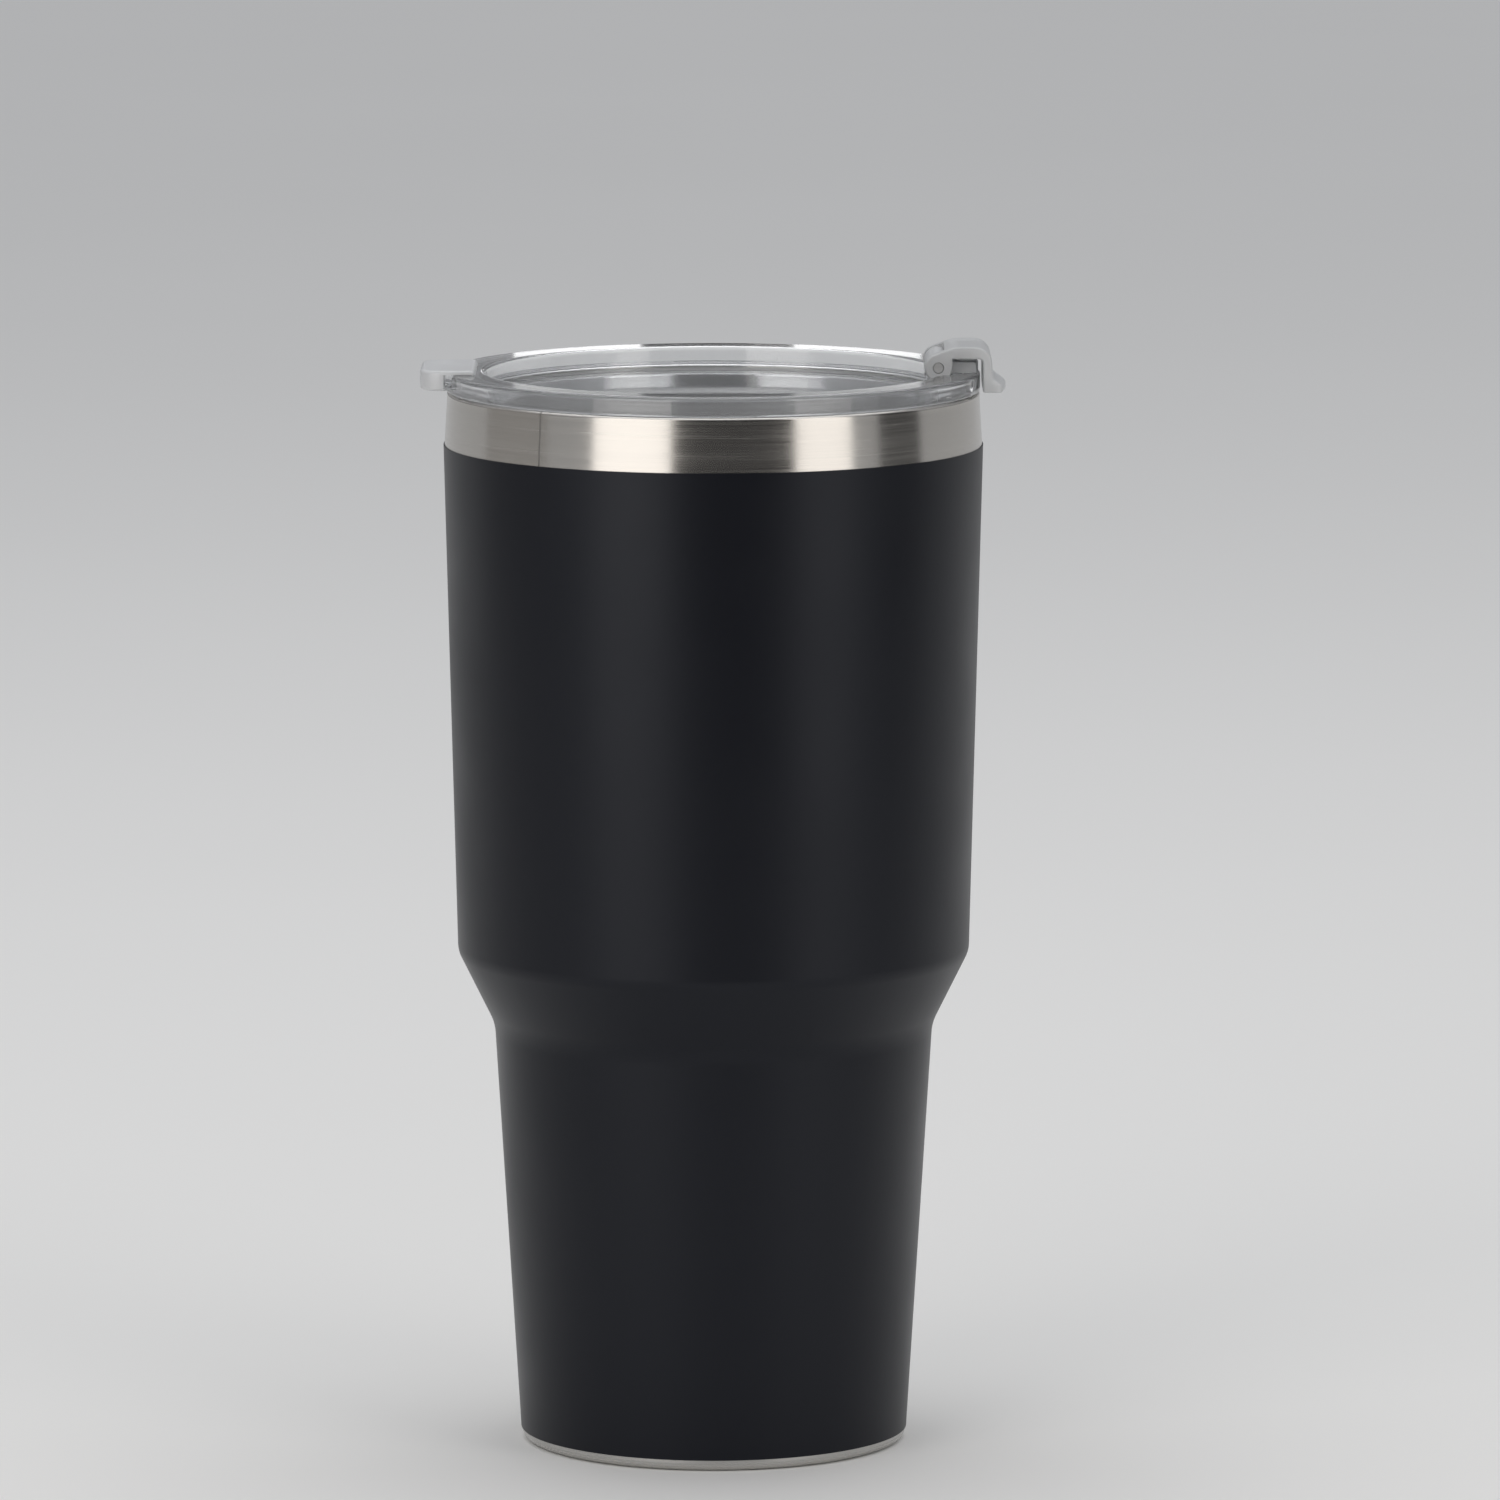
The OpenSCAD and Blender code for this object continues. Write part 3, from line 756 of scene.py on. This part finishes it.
# %% [markdown]
# The strap is a narrow strip bent over the tablet, with two feet that are spot welded to the base.
# It is a sheet's outline seen from the side, stacked across its width.

# %% Strap
STRAP_T, STRAP_W, STRAP_PLAY = 0.3, 4.0, 0.15
strap_low, strap_high = reach("getter_holder")
foot_x = (strap_high[0] - strap_low[0]) / 2
strap_z, strap_top = strap_low[2], strap_high[2]
strap_in = tablet_r + STRAP_PLAY
strap_path = np.array([[-foot_x, strap_z], [-strap_in, strap_z], [-strap_in, strap_top - STRAP_T],
                       [strap_in, strap_top - STRAP_T], [strap_in, strap_z], [foot_x, strap_z]])
strap_path[:, 0] += tablet_x
strap = sheet_outline(strap_path, [0, 0.35, 0.1, 0.1, 0.35, 0], -STRAP_T)
getter_holder = block("getter_holder_strap", strap, -STRAP_W / 2, STRAP_W / 2, 0, across)
finish(getter_holder, "cup", "getter_holder", STRAP_STEEL)

# %% [markdown]
# ## The lid
# The lid is one clear moulding. Most of it is turned: a plug that goes down into the mouth, with a
# groove for the gasket, a flange that rests on the lip, and a dish. Heights are counted from the
# lip, and the outline starts and ends on the axis.

# %% Turned part of the lid
FLANGE_R, PLUG_R = LIP_R + 0.1, MOUTH_R - 1.3
DISH_R = PLUG_R - 2.5
FLANGE_LOW, FLANGE_TOP, DISH_Z, FLOOR_T = 0.15, 3.8, -0.7, 2.1
PLUG_LOW, GROOVE_LOW, GROOVE_HIGH, GROOVE_R = -10.4, -8.6, -5.4, PLUG_R - 1.6
DRAFT, UNDER_DRAFT = 0.3, 0.4


def above_lip(outline):
    """Outline whose heights were counted from the lip, counted from the table instead."""
    return np.array(outline, float) + [0, LIP_Z]


lid_section = [[0, DISH_Z - FLOOR_T], [DISH_R - UNDER_DRAFT, DISH_Z - FLOOR_T], [DISH_R, PLUG_LOW],
               [PLUG_R - DRAFT, PLUG_LOW], [PLUG_R, GROOVE_LOW], [GROOVE_R, GROOVE_LOW],
               [GROOVE_R, GROOVE_HIGH], [PLUG_R, GROOVE_HIGH], [PLUG_R, FLANGE_LOW],
               [FLANGE_R, FLANGE_LOW], [FLANGE_R, FLANGE_TOP], [DISH_R, FLANGE_TOP],
               [DISH_R - DRAFT, DISH_Z], [0, DISH_Z]]
lid_rounding = [0, 1.2, 0.6, 0.9, 0, 0.2, 0.2, 0, 0.5, 0.35, 0.8, 0.8, 0.8, 0]
lid_body = turned("lid_body_clear", above_lip(rounded(lid_section, lid_rounding)))
print("lid disc", len(lid_body.data.polygons), "faces")

# %% [markdown]
# Two pockets beside the hinge give the flip cap's cheeks room to turn. They are cut before the lug
# is joined on, so that it keeps its own flat sides. On the other side of the lid a tongue for the
# thumb sticks out past the rim.

# %% Pockets and tongue
PIVOT_X, PIVOT_Z = 42.2, 5.1
PIN_R, LUG_HALF, KNUCKLE_R, PLAY = 1.0, 6.3, 2.6, 0.35
FLIP_HALF = (reach("flip_cap")[1][1] - reach("flip_cap")[0][1]) / 2
UNDER_LUG = 0.05
z_pivot = LIP_Z + PIVOT_Z
for side in (-1, 1):
    y_low, y_high = sorted((side * (LUG_HALF - UNDER_LUG), side * (FLIP_HALF + PLAY)))
    room = circle(PIVOT_X, z_pivot, KNUCKLE_R + PLAY)
    cut(lid_body, block("pocket", room, y_low, y_high, 0, across))

TAB_END, TAB_HALF, TAB_LOW, TAB_TOP = -reach("lid_body")[0][0], 11.0, 0.9, 4.7
TAB_ROOT, TAB_EDGE = DISH_R + 1.6, 0.7
tab_plan = rounded([[-TAB_ROOT, -TAB_HALF], [-TAB_END, -TAB_HALF], [-TAB_END, TAB_HALF],
                    [-TAB_ROOT, TAB_HALF]], [1, 4, 4, 1])
join(lid_body, block("tab", tab_plan, LIP_Z + TAB_LOW, LIP_Z + TAB_TOP, TAB_EDGE))
print("lid with tongue", len(lid_body.data.polygons), "faces")

# %% [markdown]
# One block is the hinge lug on the inside and the drinking spout on the outside. Its outline is
# seen from the side: a foot, a straight spout, and an arc about the pin. Its outer face follows the
# round of the rim, so its levels are closer together than its edges need.

# %% Lug and spout
SPOUT_R, SPOUT_TOP, SPOUT_FOOT, SPOUT_ROUND = FLANGE_R - 0.4, 5.9, 1, 0.6
LUG_EDGE, FOOT_DEPTH = 0.3, 0.1
foot_z, step_r = DISH_Z - FOOT_DEPTH, PLUG_R - 0.5
lug_r = KNUCKLE_R - 0.1
lug_start = math.degrees(math.asin((SPOUT_TOP - PIVOT_Z) / lug_r))
lug_turn = np.radians(np.linspace(lug_start, 180, 25))
lug_arc = np.stack([PIVOT_X + lug_r * np.cos(lug_turn), PIVOT_Z + lug_r * np.sin(lug_turn)], -1)
block_foot = rounded([[PIVOT_X - lug_r, foot_z], [step_r, foot_z], [step_r, SPOUT_FOOT],
                      [SPOUT_R, SPOUT_FOOT], [SPOUT_R, SPOUT_TOP], [PIVOT_X + 3, SPOUT_TOP]],
                     [0, 0, 0, 0, SPOUT_ROUND, 0])
lug_outline = above_lip(np.vstack([block_foot, lug_arc]))


def follow_rim(u, h, gap):
    """Moves the outer part of the block back, so that it follows the round of the rim: at h from
    the middle, by the spout's radius less the square root of its square less h squared. The gap
    of a soft edge makes no difference to it."""
    back = SPOUT_R - np.sqrt(SPOUT_R ** 2 - h ** 2)
    return np.where(u > PLUG_R + 1, u - back, u)


lug = block("lug", lug_outline, -LUG_HALF, LUG_HALF, LUG_EDGE, across,
            mid_levels=np.linspace(-5.5, 5.5, 9), limit=follow_rim)
join(lid_body, lug)
print("lid with tongue and lug", len(lid_body.data.polygons), "faces")

# %% [markdown]
# The holes are cut last: the pin's bore, the leaning sip slot, and a vent that lets air in while
# someone drinks. Each is a block that is longer than the hole is deep.

# %% Bore, sip slot and vent
SLOT_LEAN, SLOT_T, SLOT_W, SLOT_ROUND = math.radians(33.7), 2.75, 9.6, 1.2
SLOT_X, VENT_X, VENT_R = SPOUT_R - 2.55, -DISH_R + 7, 1.5
SLOT_DOWN, SLOT_UP, BORE_HALF, VENT_HALF = -20, 4, 7, 5


def leaning(u, v, h):
    """Level of the slot, whose height runs up a line that leans outwards by an angle a from the
    slot's mouth: x is u cos a + h sin a further out, and z is h cos a - u sin a higher."""
    x = SLOT_X + u * math.cos(SLOT_LEAN) + h * math.sin(SLOT_LEAN)
    z = LIP_Z + SPOUT_TOP - u * math.sin(SLOT_LEAN) + h * math.cos(SLOT_LEAN)
    return np.stack([x, v, z], -1)


pin_hole = circle(PIVOT_X, z_pivot, PIN_R, 48)
cut(lid_body, block("bore", pin_hole, -BORE_HALF, BORE_HALF, 0, across))
slot_plan = box_outline(-SLOT_T / 2, -SLOT_W / 2, SLOT_T / 2, SLOT_W / 2, SLOT_ROUND)
cut(lid_body, block("slot", slot_plan, SLOT_DOWN, SLOT_UP, 0, leaning))
vent_hole = circle(VENT_X, 0, VENT_R, 48)
cut(lid_body, block("vent", vent_hole, LIP_Z - VENT_HALF, LIP_Z + VENT_HALF, 0))
print("lid with its holes", len(lid_body.data.polygons), "faces")

# %% [markdown]
# The mould is polished where the lid has to be clear, and left matt on the spout block and on the
# tongue, where a shine would only show scratches. The shader does the same: above the flange's top,
# and beyond the flange's edge on the tongue's side, it is rougher, greyer and lets less light in.

# %% Finish of the lid
POLISHED_ROUGH, MATT_ROUGH = 0.06, 0.36
POLISHED_CLEAR, MATT_CLEAR = 0.95, 0.38
WATER_CLEAR, FROSTED = (0.93, 0.94, 0.95), (0.76, 0.77, 0.78)
spout_from, tongue_from = LIP_Z + FLANGE_TOP + 0.1, -(FLANGE_R + 0.3)
LID_PLASTIC = clear("lid_plastic", WATER_CLEAR, POLISHED_ROUGH, POLISHED_CLEAR)
tree = LID_PLASTIC.node_tree
shader = tree.nodes["Principled BSDF"]
place = parts_of(tree, place_of(tree))
on_spout = calc(tree, "GREATER_THAN", place[2], spout_from * MM)
on_tongue = calc(tree, "LESS_THAN", place[0], tongue_from * MM)
matt = calc(tree, "MAXIMUM", on_spout, on_tongue)
haze = between(tree, matt, POLISHED_ROUGH, MATT_ROUGH)
clearness = between(tree, matt, POLISHED_CLEAR, MATT_CLEAR)
tree.links.new(tint(tree, matt, WATER_CLEAR, FROSTED), shader.inputs["Base Color"])
tree.links.new(haze, shader.inputs["Roughness"])
tree.links.new(clearness, shader.inputs["Transmission Weight"])
finish(lid_body, "lid", "lid_body", LID_PLASTIC)

# %% [markdown]
# ### Gasket and hinge pin
# The gasket is a silicone ring that snaps into the plug's groove. On the real lid its two thin fins
# bend against the liner and hold it. Here they are relaxed, and end just short of the liner.

# %% Gasket
back_r, ring_r, fin_r = GROOVE_R + 0.05, PLUG_R - 0.2, MOUTH_R - 0.3
ring_low, ring_high = GROOVE_LOW + 0.05, GROOVE_HIGH - 0.05
FIN_T, FIN_GAP, FIN_RISE = 0.55, 0.55, 0.2
ROOT_ROUND, TIP_ROUND = 0.15, 0.2


def fin(low):
    """A fin's outline, from its root's lower side to its tip and back to the root's upper side."""
    return [[ring_r, low], [fin_r, low + FIN_RISE], [fin_r, low + FIN_RISE + FIN_T],
            [ring_r, low + FIN_T]]


fins = fin(ring_low + FIN_GAP) + fin(ring_high - FIN_GAP - FIN_T)
gasket = [[back_r, ring_low], [ring_r, ring_low], *fins, [ring_r, ring_high], [back_r, ring_high]]
fin_rounding = [ROOT_ROUND, TIP_ROUND, TIP_ROUND, ROOT_ROUND]
gasket_rounding = [TIP_ROUND, ROOT_ROUND, *fin_rounding, *fin_rounding, ROOT_ROUND, TIP_ROUND]
lid_gasket = turned("lid_gasket_ring", above_lip(rounded(gasket, gasket_rounding)))
finish(lid_gasket, "lid", "lid_gasket", SILICONE)

# %% [markdown]
# The pin is a plain ground rod with its ends just inside the cheeks. It is a circle, stacked along
# its own length, with a small soft edge at both ends.

# %% Pin
PIN_EDGE = 0.15
pin_half = (reach("hinge_pin")[1][1] - reach("hinge_pin")[0][1]) / 2
pin_outline = circle(PIVOT_X, z_pivot, PIN_R, 64)
hinge_pin = block("hinge_pin_rod", pin_outline, -pin_half, pin_half, PIN_EDGE, across)
finish(hinge_pin, "lid", "hinge_pin", PIN_STEEL)

# %% [markdown]
# ## The flip cap
# Seen from the side, the flip cap is an arch: a knuckle at the hinge, a roof over the spout, a wall
# that hangs over the rim, and a lip for the finger. The knuckle is half a circle about the pin, and
# the roof's slope is its tangent, so that the two meet without a kink.

# %% Side view of the flip cap
FLIP_TOP, FLIP_FOOT, FLIP_END = 8.95, 0.4, 55.0
ARCH_IN, ARCH_UNDER = FLANGE_R + PLAY, PIVOT_Z + 1.65
WALL_TOP_T, WALL_LOW_T, LIP_ROOT_Z, LIP_TIP_T = 1.35, 2.15, FLIP_FOOT + 2.6, 1.3
SLOPE = math.radians(20)
touch_x, touch_z = PIVOT_X - KNUCKLE_R * math.sin(SLOPE), PIVOT_Z + KNUCKLE_R * math.cos(SLOPE)
crest_x = touch_x + (FLIP_TOP - touch_z) / math.tan(SLOPE)
knuckle_in, knuckle_out, knuckle_low = PIVOT_X - KNUCKLE_R, PIVOT_X + KNUCKLE_R, PIVOT_Z - KNUCKLE_R
slope_foot = touch_z - (touch_x - knuckle_in) * math.tan(SLOPE)
flip_side = [[knuckle_in, knuckle_low], [knuckle_in, slope_foot], [crest_x, FLIP_TOP],
             [ARCH_IN + WALL_TOP_T, FLIP_TOP], [ARCH_IN + WALL_LOW_T, LIP_ROOT_Z],
             [FLIP_END, FLIP_FOOT + LIP_TIP_T], [FLIP_END, FLIP_FOOT], [ARCH_IN, FLIP_FOOT],
             [ARCH_IN, ARCH_UNDER], [knuckle_out, ARCH_UNDER], [knuckle_out, knuckle_low]]
knuckle_round = KNUCKLE_R - 0.01
flip_rounding = [knuckle_round, knuckle_round, 7, 3.2, 1.5, 0.6, 0.6, 0.5, 0.8, 0, knuckle_round]
flip_outline = above_lip(rounded(flip_side, flip_rounding))
print("the flip cap's side view has", len(flip_outline), "points")

# %% [markdown]
# That outline is stacked along the hinge's own direction. The finger lip's corners are rounded in
# plan by drawing each level of the stack in, so the levels lie close together near both ends.

# %% Arch of the flip cap
FLIP_EDGE, LIP_START, PLAN_R = 0.4, 52.0, 2.5


def round_in_plan(u, h, gap):
    """Draws the finger lip in towards the wall, so that each level ends inside the plan:
    a circle about the cup's axis, and two rounded corners."""
    past = np.clip(np.abs(h) - (FLIP_HALF - PLAN_R), 0, PLAN_R)
    corner = FLIP_END - PLAN_R + np.sqrt(PLAN_R ** 2 - past ** 2)
    end = np.minimum(np.sqrt(FLIP_END ** 2 - h ** 2), corner) - gap
    share = (end - LIP_START) / (FLIP_END - gap - LIP_START)
    return np.where(u > LIP_START, LIP_START + (u - LIP_START) * share, u)


corner_levels = np.linspace(FLIP_HALF - PLAN_R, FLIP_HALF - FLIP_EDGE - 0.03, 10)
flip_levels = np.concatenate([-corner_levels, np.linspace(-6, 6, 7), corner_levels])
flip_cap = block("flip_cap_clear", flip_outline, -FLIP_HALF, FLIP_HALF, FLIP_EDGE, across,
                 mid_levels=flip_levels, limit=round_in_plan)
print("arch", len(flip_cap.data.polygons), "faces")

# %% [markdown]
# Between the two cheeks the room for the lid's lug is cut away: a round part about the pin, and two
# boxes, one behind it and one below. Then the bore is cut through both cheeks, a little wider than
# the pin, so that the cap can turn.

# %% Room for the lug, and the bore
ROOM_HALF, CHEEK_BACK, BORE_PLAY = LUG_HALF + 0.3, 1.2, 0.06
cheek_x = PIVOT_X + CHEEK_BACK
about_pin = circle(PIVOT_X, z_pivot, lug_r + PLAY)
behind = box_outline(cheek_x - 10, LIP_Z, cheek_x, LIP_Z + FLIP_TOP + 1)
below = box_outline(cheek_x - 0.1, LIP_Z, knuckle_out + 0.2, z_pivot)
for room in (about_pin, behind, below):
    cut(flip_cap, block("room", room, -ROOM_HALF, ROOM_HALF, 0, across))
cheek_hole = circle(PIVOT_X, z_pivot, PIN_R + BORE_PLAY, 48)
cut(flip_cap, block("bore", cheek_hole, -FLIP_HALF - 1, FLIP_HALF + 1, 0, across))
finish(flip_cap, "flip_cap", "flip_cap", FLIP_PLASTIC)

# %% [markdown]
# The pad under the arch closes the sip slot. It is a small plate with a boss below, moulded as one,
# so one stack does both: the boss's levels come first, and the plate's follow.

# %% Pad under the arch
pad_x, pad_half_y = (SLOT_X - 1.9, SLOT_X + 2.1), LUG_HALF - 0.6
boss_x, boss_half_y = (SLOT_X - 1, SLOT_X + 0.6), SLOT_W / 2 - 0.9
pad_low, boss_low = SPOUT_TOP + 0.2, SPOUT_TOP - 0.6
BOSS_EDGE, PAD_EDGE, EDGE_MIDDLE = 0.2, 0.1, 0.3
plate = box_outline(pad_x[0], -pad_half_y, pad_x[1], pad_half_y, 1.0)
boss = box_outline(boss_x[0], -boss_half_y, boss_x[1], boss_half_y, 0.7)


def soft_start(outline, low, edge):
    """Three levels that round an edge: its middle level lies 0.3 of the edge from each side."""
    middle = EDGE_MIDDLE * edge
    return [(inset(outline, edge), low), (inset(outline, middle), low + middle),
            (outline, low + edge)]


pad_levels = [*soft_start(boss, boss_low, BOSS_EDGE), (boss, pad_low),
              *soft_start(plate, pad_low, PAD_EDGE), (plate, ARCH_UNDER)]
pad_grid = [upright(flat[:, 0], flat[:, 1], np.full(len(flat), LIP_Z + z)) for flat, z in pad_levels]
flip_seal = stack("flip_seal_pad", pad_grid)
finish(flip_seal, "flip_cap", "flip_seal", SILICONE)

# %% [markdown]
# ## Studio
# The floor is pale and wide, so that it fills the background. A slow noise keeps it from looking
# like one flat colour.

# %% Floor
FLOOR_REACH = 9.0
PALE, PALER = (0.79, 0.785, 0.77), (0.81, 0.805, 0.79)
pale, tree, shader = finish_named("pale_floor", Roughness=0.8, Base_Color=(0.80, 0.795, 0.78, 1))
mottle = noise(tree, place_of(tree), 3, 2.0)
tree.links.new(tint(tree, mottle, PALE, PALER), shader.inputs["Base Color"])
far = FLOOR_REACH / MM
floor = made("floor", [[-far, -far, 0], [far, -far, 0], [far, far, 0], [-far, far, 0]], [[0, 1, 2, 3]])
floor.data.materials.append(pale)
print("floor", 2 * FLOOR_REACH, "m wide")

# %% [markdown]
# A mirror-like wall needs something dark to show, or it looks flat, so upright cards stand round
# the cup, a usual trick with metal. The camera doesn't see them and they throw no shadow. The
# front, right and left ones are for the steel band. The two behind the cup are for the lid: at this
# low angle the floor of its dish and its flange are mirrors, and show what stands behind.

# %% Cards
BLACK, DIM, GREY = (0.012, 0.012, 0.013), (0.14, 0.14, 0.14), (0.42, 0.41, 0.40)
BAND_CARD_TOP, BACK_CARD_TOP, UPPER_CARD_TOP = 700, 288, 345


def card(name, colour, azimuths, distance, low, high):
    """Upright card from one azimuth to another, counted from the front to the right. At azimuth w
    its edge stands at (distance sin w, -distance cos w)."""
    a, b = (distance * np.array([math.sin(w), -math.cos(w)]) for w in np.radians(azimuths))
    piece = made(name, [[*a, low], [*b, low], [*b, high], [*a, high]], [[0, 1, 2, 3]])
    paint = finish_named(name + "_paint", Roughness=0.9, Base_Color=(*colour, 1))[0]
    piece.data.materials.append(paint)
    piece.visible_camera = piece.visible_shadow = piece.visible_diffuse = False


card("front_card", BLACK, (-17, 34), 600, 1, BAND_CARD_TOP)
card("right_card", BLACK, (74, 98), 950, 1, BAND_CARD_TOP)
card("left_card", GREY, (-112, -74), 950, 1, BAND_CARD_TOP)
card("back_card", BLACK, (178.7, 181.5), 750, 240, BACK_CARD_TOP)
card("upper_card", DIM, (160, 200), 765, 287, UPPER_CARD_TOP)
print("five cards")

# %% [markdown]
# Two tall soft lights stand in front, one on each side, and show as the two bright stretches of the
# band. Two very small ones behind the cup are seen only in the floor of the dish, on either side of
# the back card. A wide one hangs above. A light's power is its radiance times pi times its area, so
# that a larger light of the same radiance looks just as bright in a mirror.

# %% Lights
from mathutils import Vector

OVERHEAD = 1.0
AIM = Vector((0, 0, 0.15))
LAMP_AWAY, LAMP_HIGH, STRIP_HIGH = 0.75, 0.46, 0.268
WARM, STRIP_SIZE, STRIP_RADIANCE = (1.0, 0.96, 0.92), (0.032, 0.034), 1.35


def soft_light(name, azimuth, distance, height, size, radiance, colour=(1, 1, 1)):
    """Rectangle of light, level if it stands low, or else turned to the tumbler. It stands at
    (distance sin w, -distance cos w) at azimuth w, counted from the front to the right."""
    light = bpy.data.lights.new(name, "AREA")
    light.shape, light.size, light.size_y = "RECTANGLE", size[0], size[1]
    light.energy = radiance * math.pi * size[0] * size[1]
    light.color = colour
    lamp = bpy.data.objects.new(name, light)
    w = math.radians(azimuth)
    lamp.location = (distance * math.sin(w), -distance * math.cos(w), height)
    aim = AIM if height >= OVERHEAD else Vector((0, 0, height))
    lamp.rotation_euler = (aim - lamp.location).to_track_quat("-Z", "Y").to_euler()
    lamp.visible_camera = False
    bpy.context.scene.collection.objects.link(lamp)
    print(name, round(light.energy, 4), "W")


soft_light("left_light", -34, LAMP_AWAY, LAMP_HIGH, (0.46, 0.90), 1.5, WARM)
soft_light("right_light", 46.5, LAMP_AWAY, LAMP_HIGH, (0.36, 0.90), 1.3, WARM)
for strip, azimuth in (("back_left_strip", 182.8), ("back_right_strip", 177.4)):
    soft_light(strip, azimuth, LAMP_AWAY, STRIP_HIGH, STRIP_SIZE, STRIP_RADIANCE)
soft_light("top_light", 180, 0.5, 1.5, (1.6, 1.2), 1.2)

# %% [markdown]
# The rest of the light comes from all round: a sky that is dim at the horizon and brighter above.
# Light has to be followed through many faces of clear plastic, so it may bounce often.

# %% Sky
HORIZON, ZENITH, BRIGHTEST_FROM = 0.22, 0.64, 0.7
world = bpy.data.worlds.new("studio")
world.use_nodes = True
tree = world.node_tree
sky = tree.nodes["Background"]
sky.inputs["Color"].default_value = (0.95, 0.965, 1.0, 1)
direction = tree.nodes.new("ShaderNodeTexCoord").outputs["Generated"]
upward = parts_of(tree, direction)
brightness = between(tree, upward[2], HORIZON, ZENITH, 0.0, BRIGHTEST_FROM)
tree.links.new(brightness, sky.inputs["Strength"])
scene = bpy.context.scene
scene.world = world
scene.cycles.max_bounces, scene.cycles.transmission_bounces = 24, 20
scene.cycles.glossy_bounces = 12
scene.view_settings.view_transform = "Standard"
print("sky from", HORIZON, "to", ZENITH)

# %% [markdown]
# ## Camera
# A long lens from over two metres away, about six degrees above the lip. From there the flange
# shows its front face and only a thin slice of its top, and the shoulder looks nearly flat.

# %% Camera
CAMERA_AWAY, CAMERA_HIGH, CAMERA_SIDE = 2.2, 0.434, 0.0069
LOOK_AT_HIGH, FRAME_ACROSS = 0.1316, 0.2674 * 1.06
SENSOR = 36.0
camera_data = bpy.data.cameras.new("camera")
camera = bpy.data.objects.new("camera", camera_data)
camera.location = (CAMERA_SIDE, -CAMERA_AWAY, CAMERA_HIGH)
look = Vector((CAMERA_SIDE, 0, LOOK_AT_HIGH)) - camera.location
camera.rotation_euler = look.to_track_quat("-Z", "Y").to_euler()
camera_data.sensor_width = SENSOR
camera_data.lens = SENSOR * look.length / FRAME_ACROSS
camera_data.clip_start, camera_data.clip_end = 0.05, 50
scene.collection.objects.link(camera)
scene.camera = camera
print("lens", round(camera_data.lens, 1), "mm")
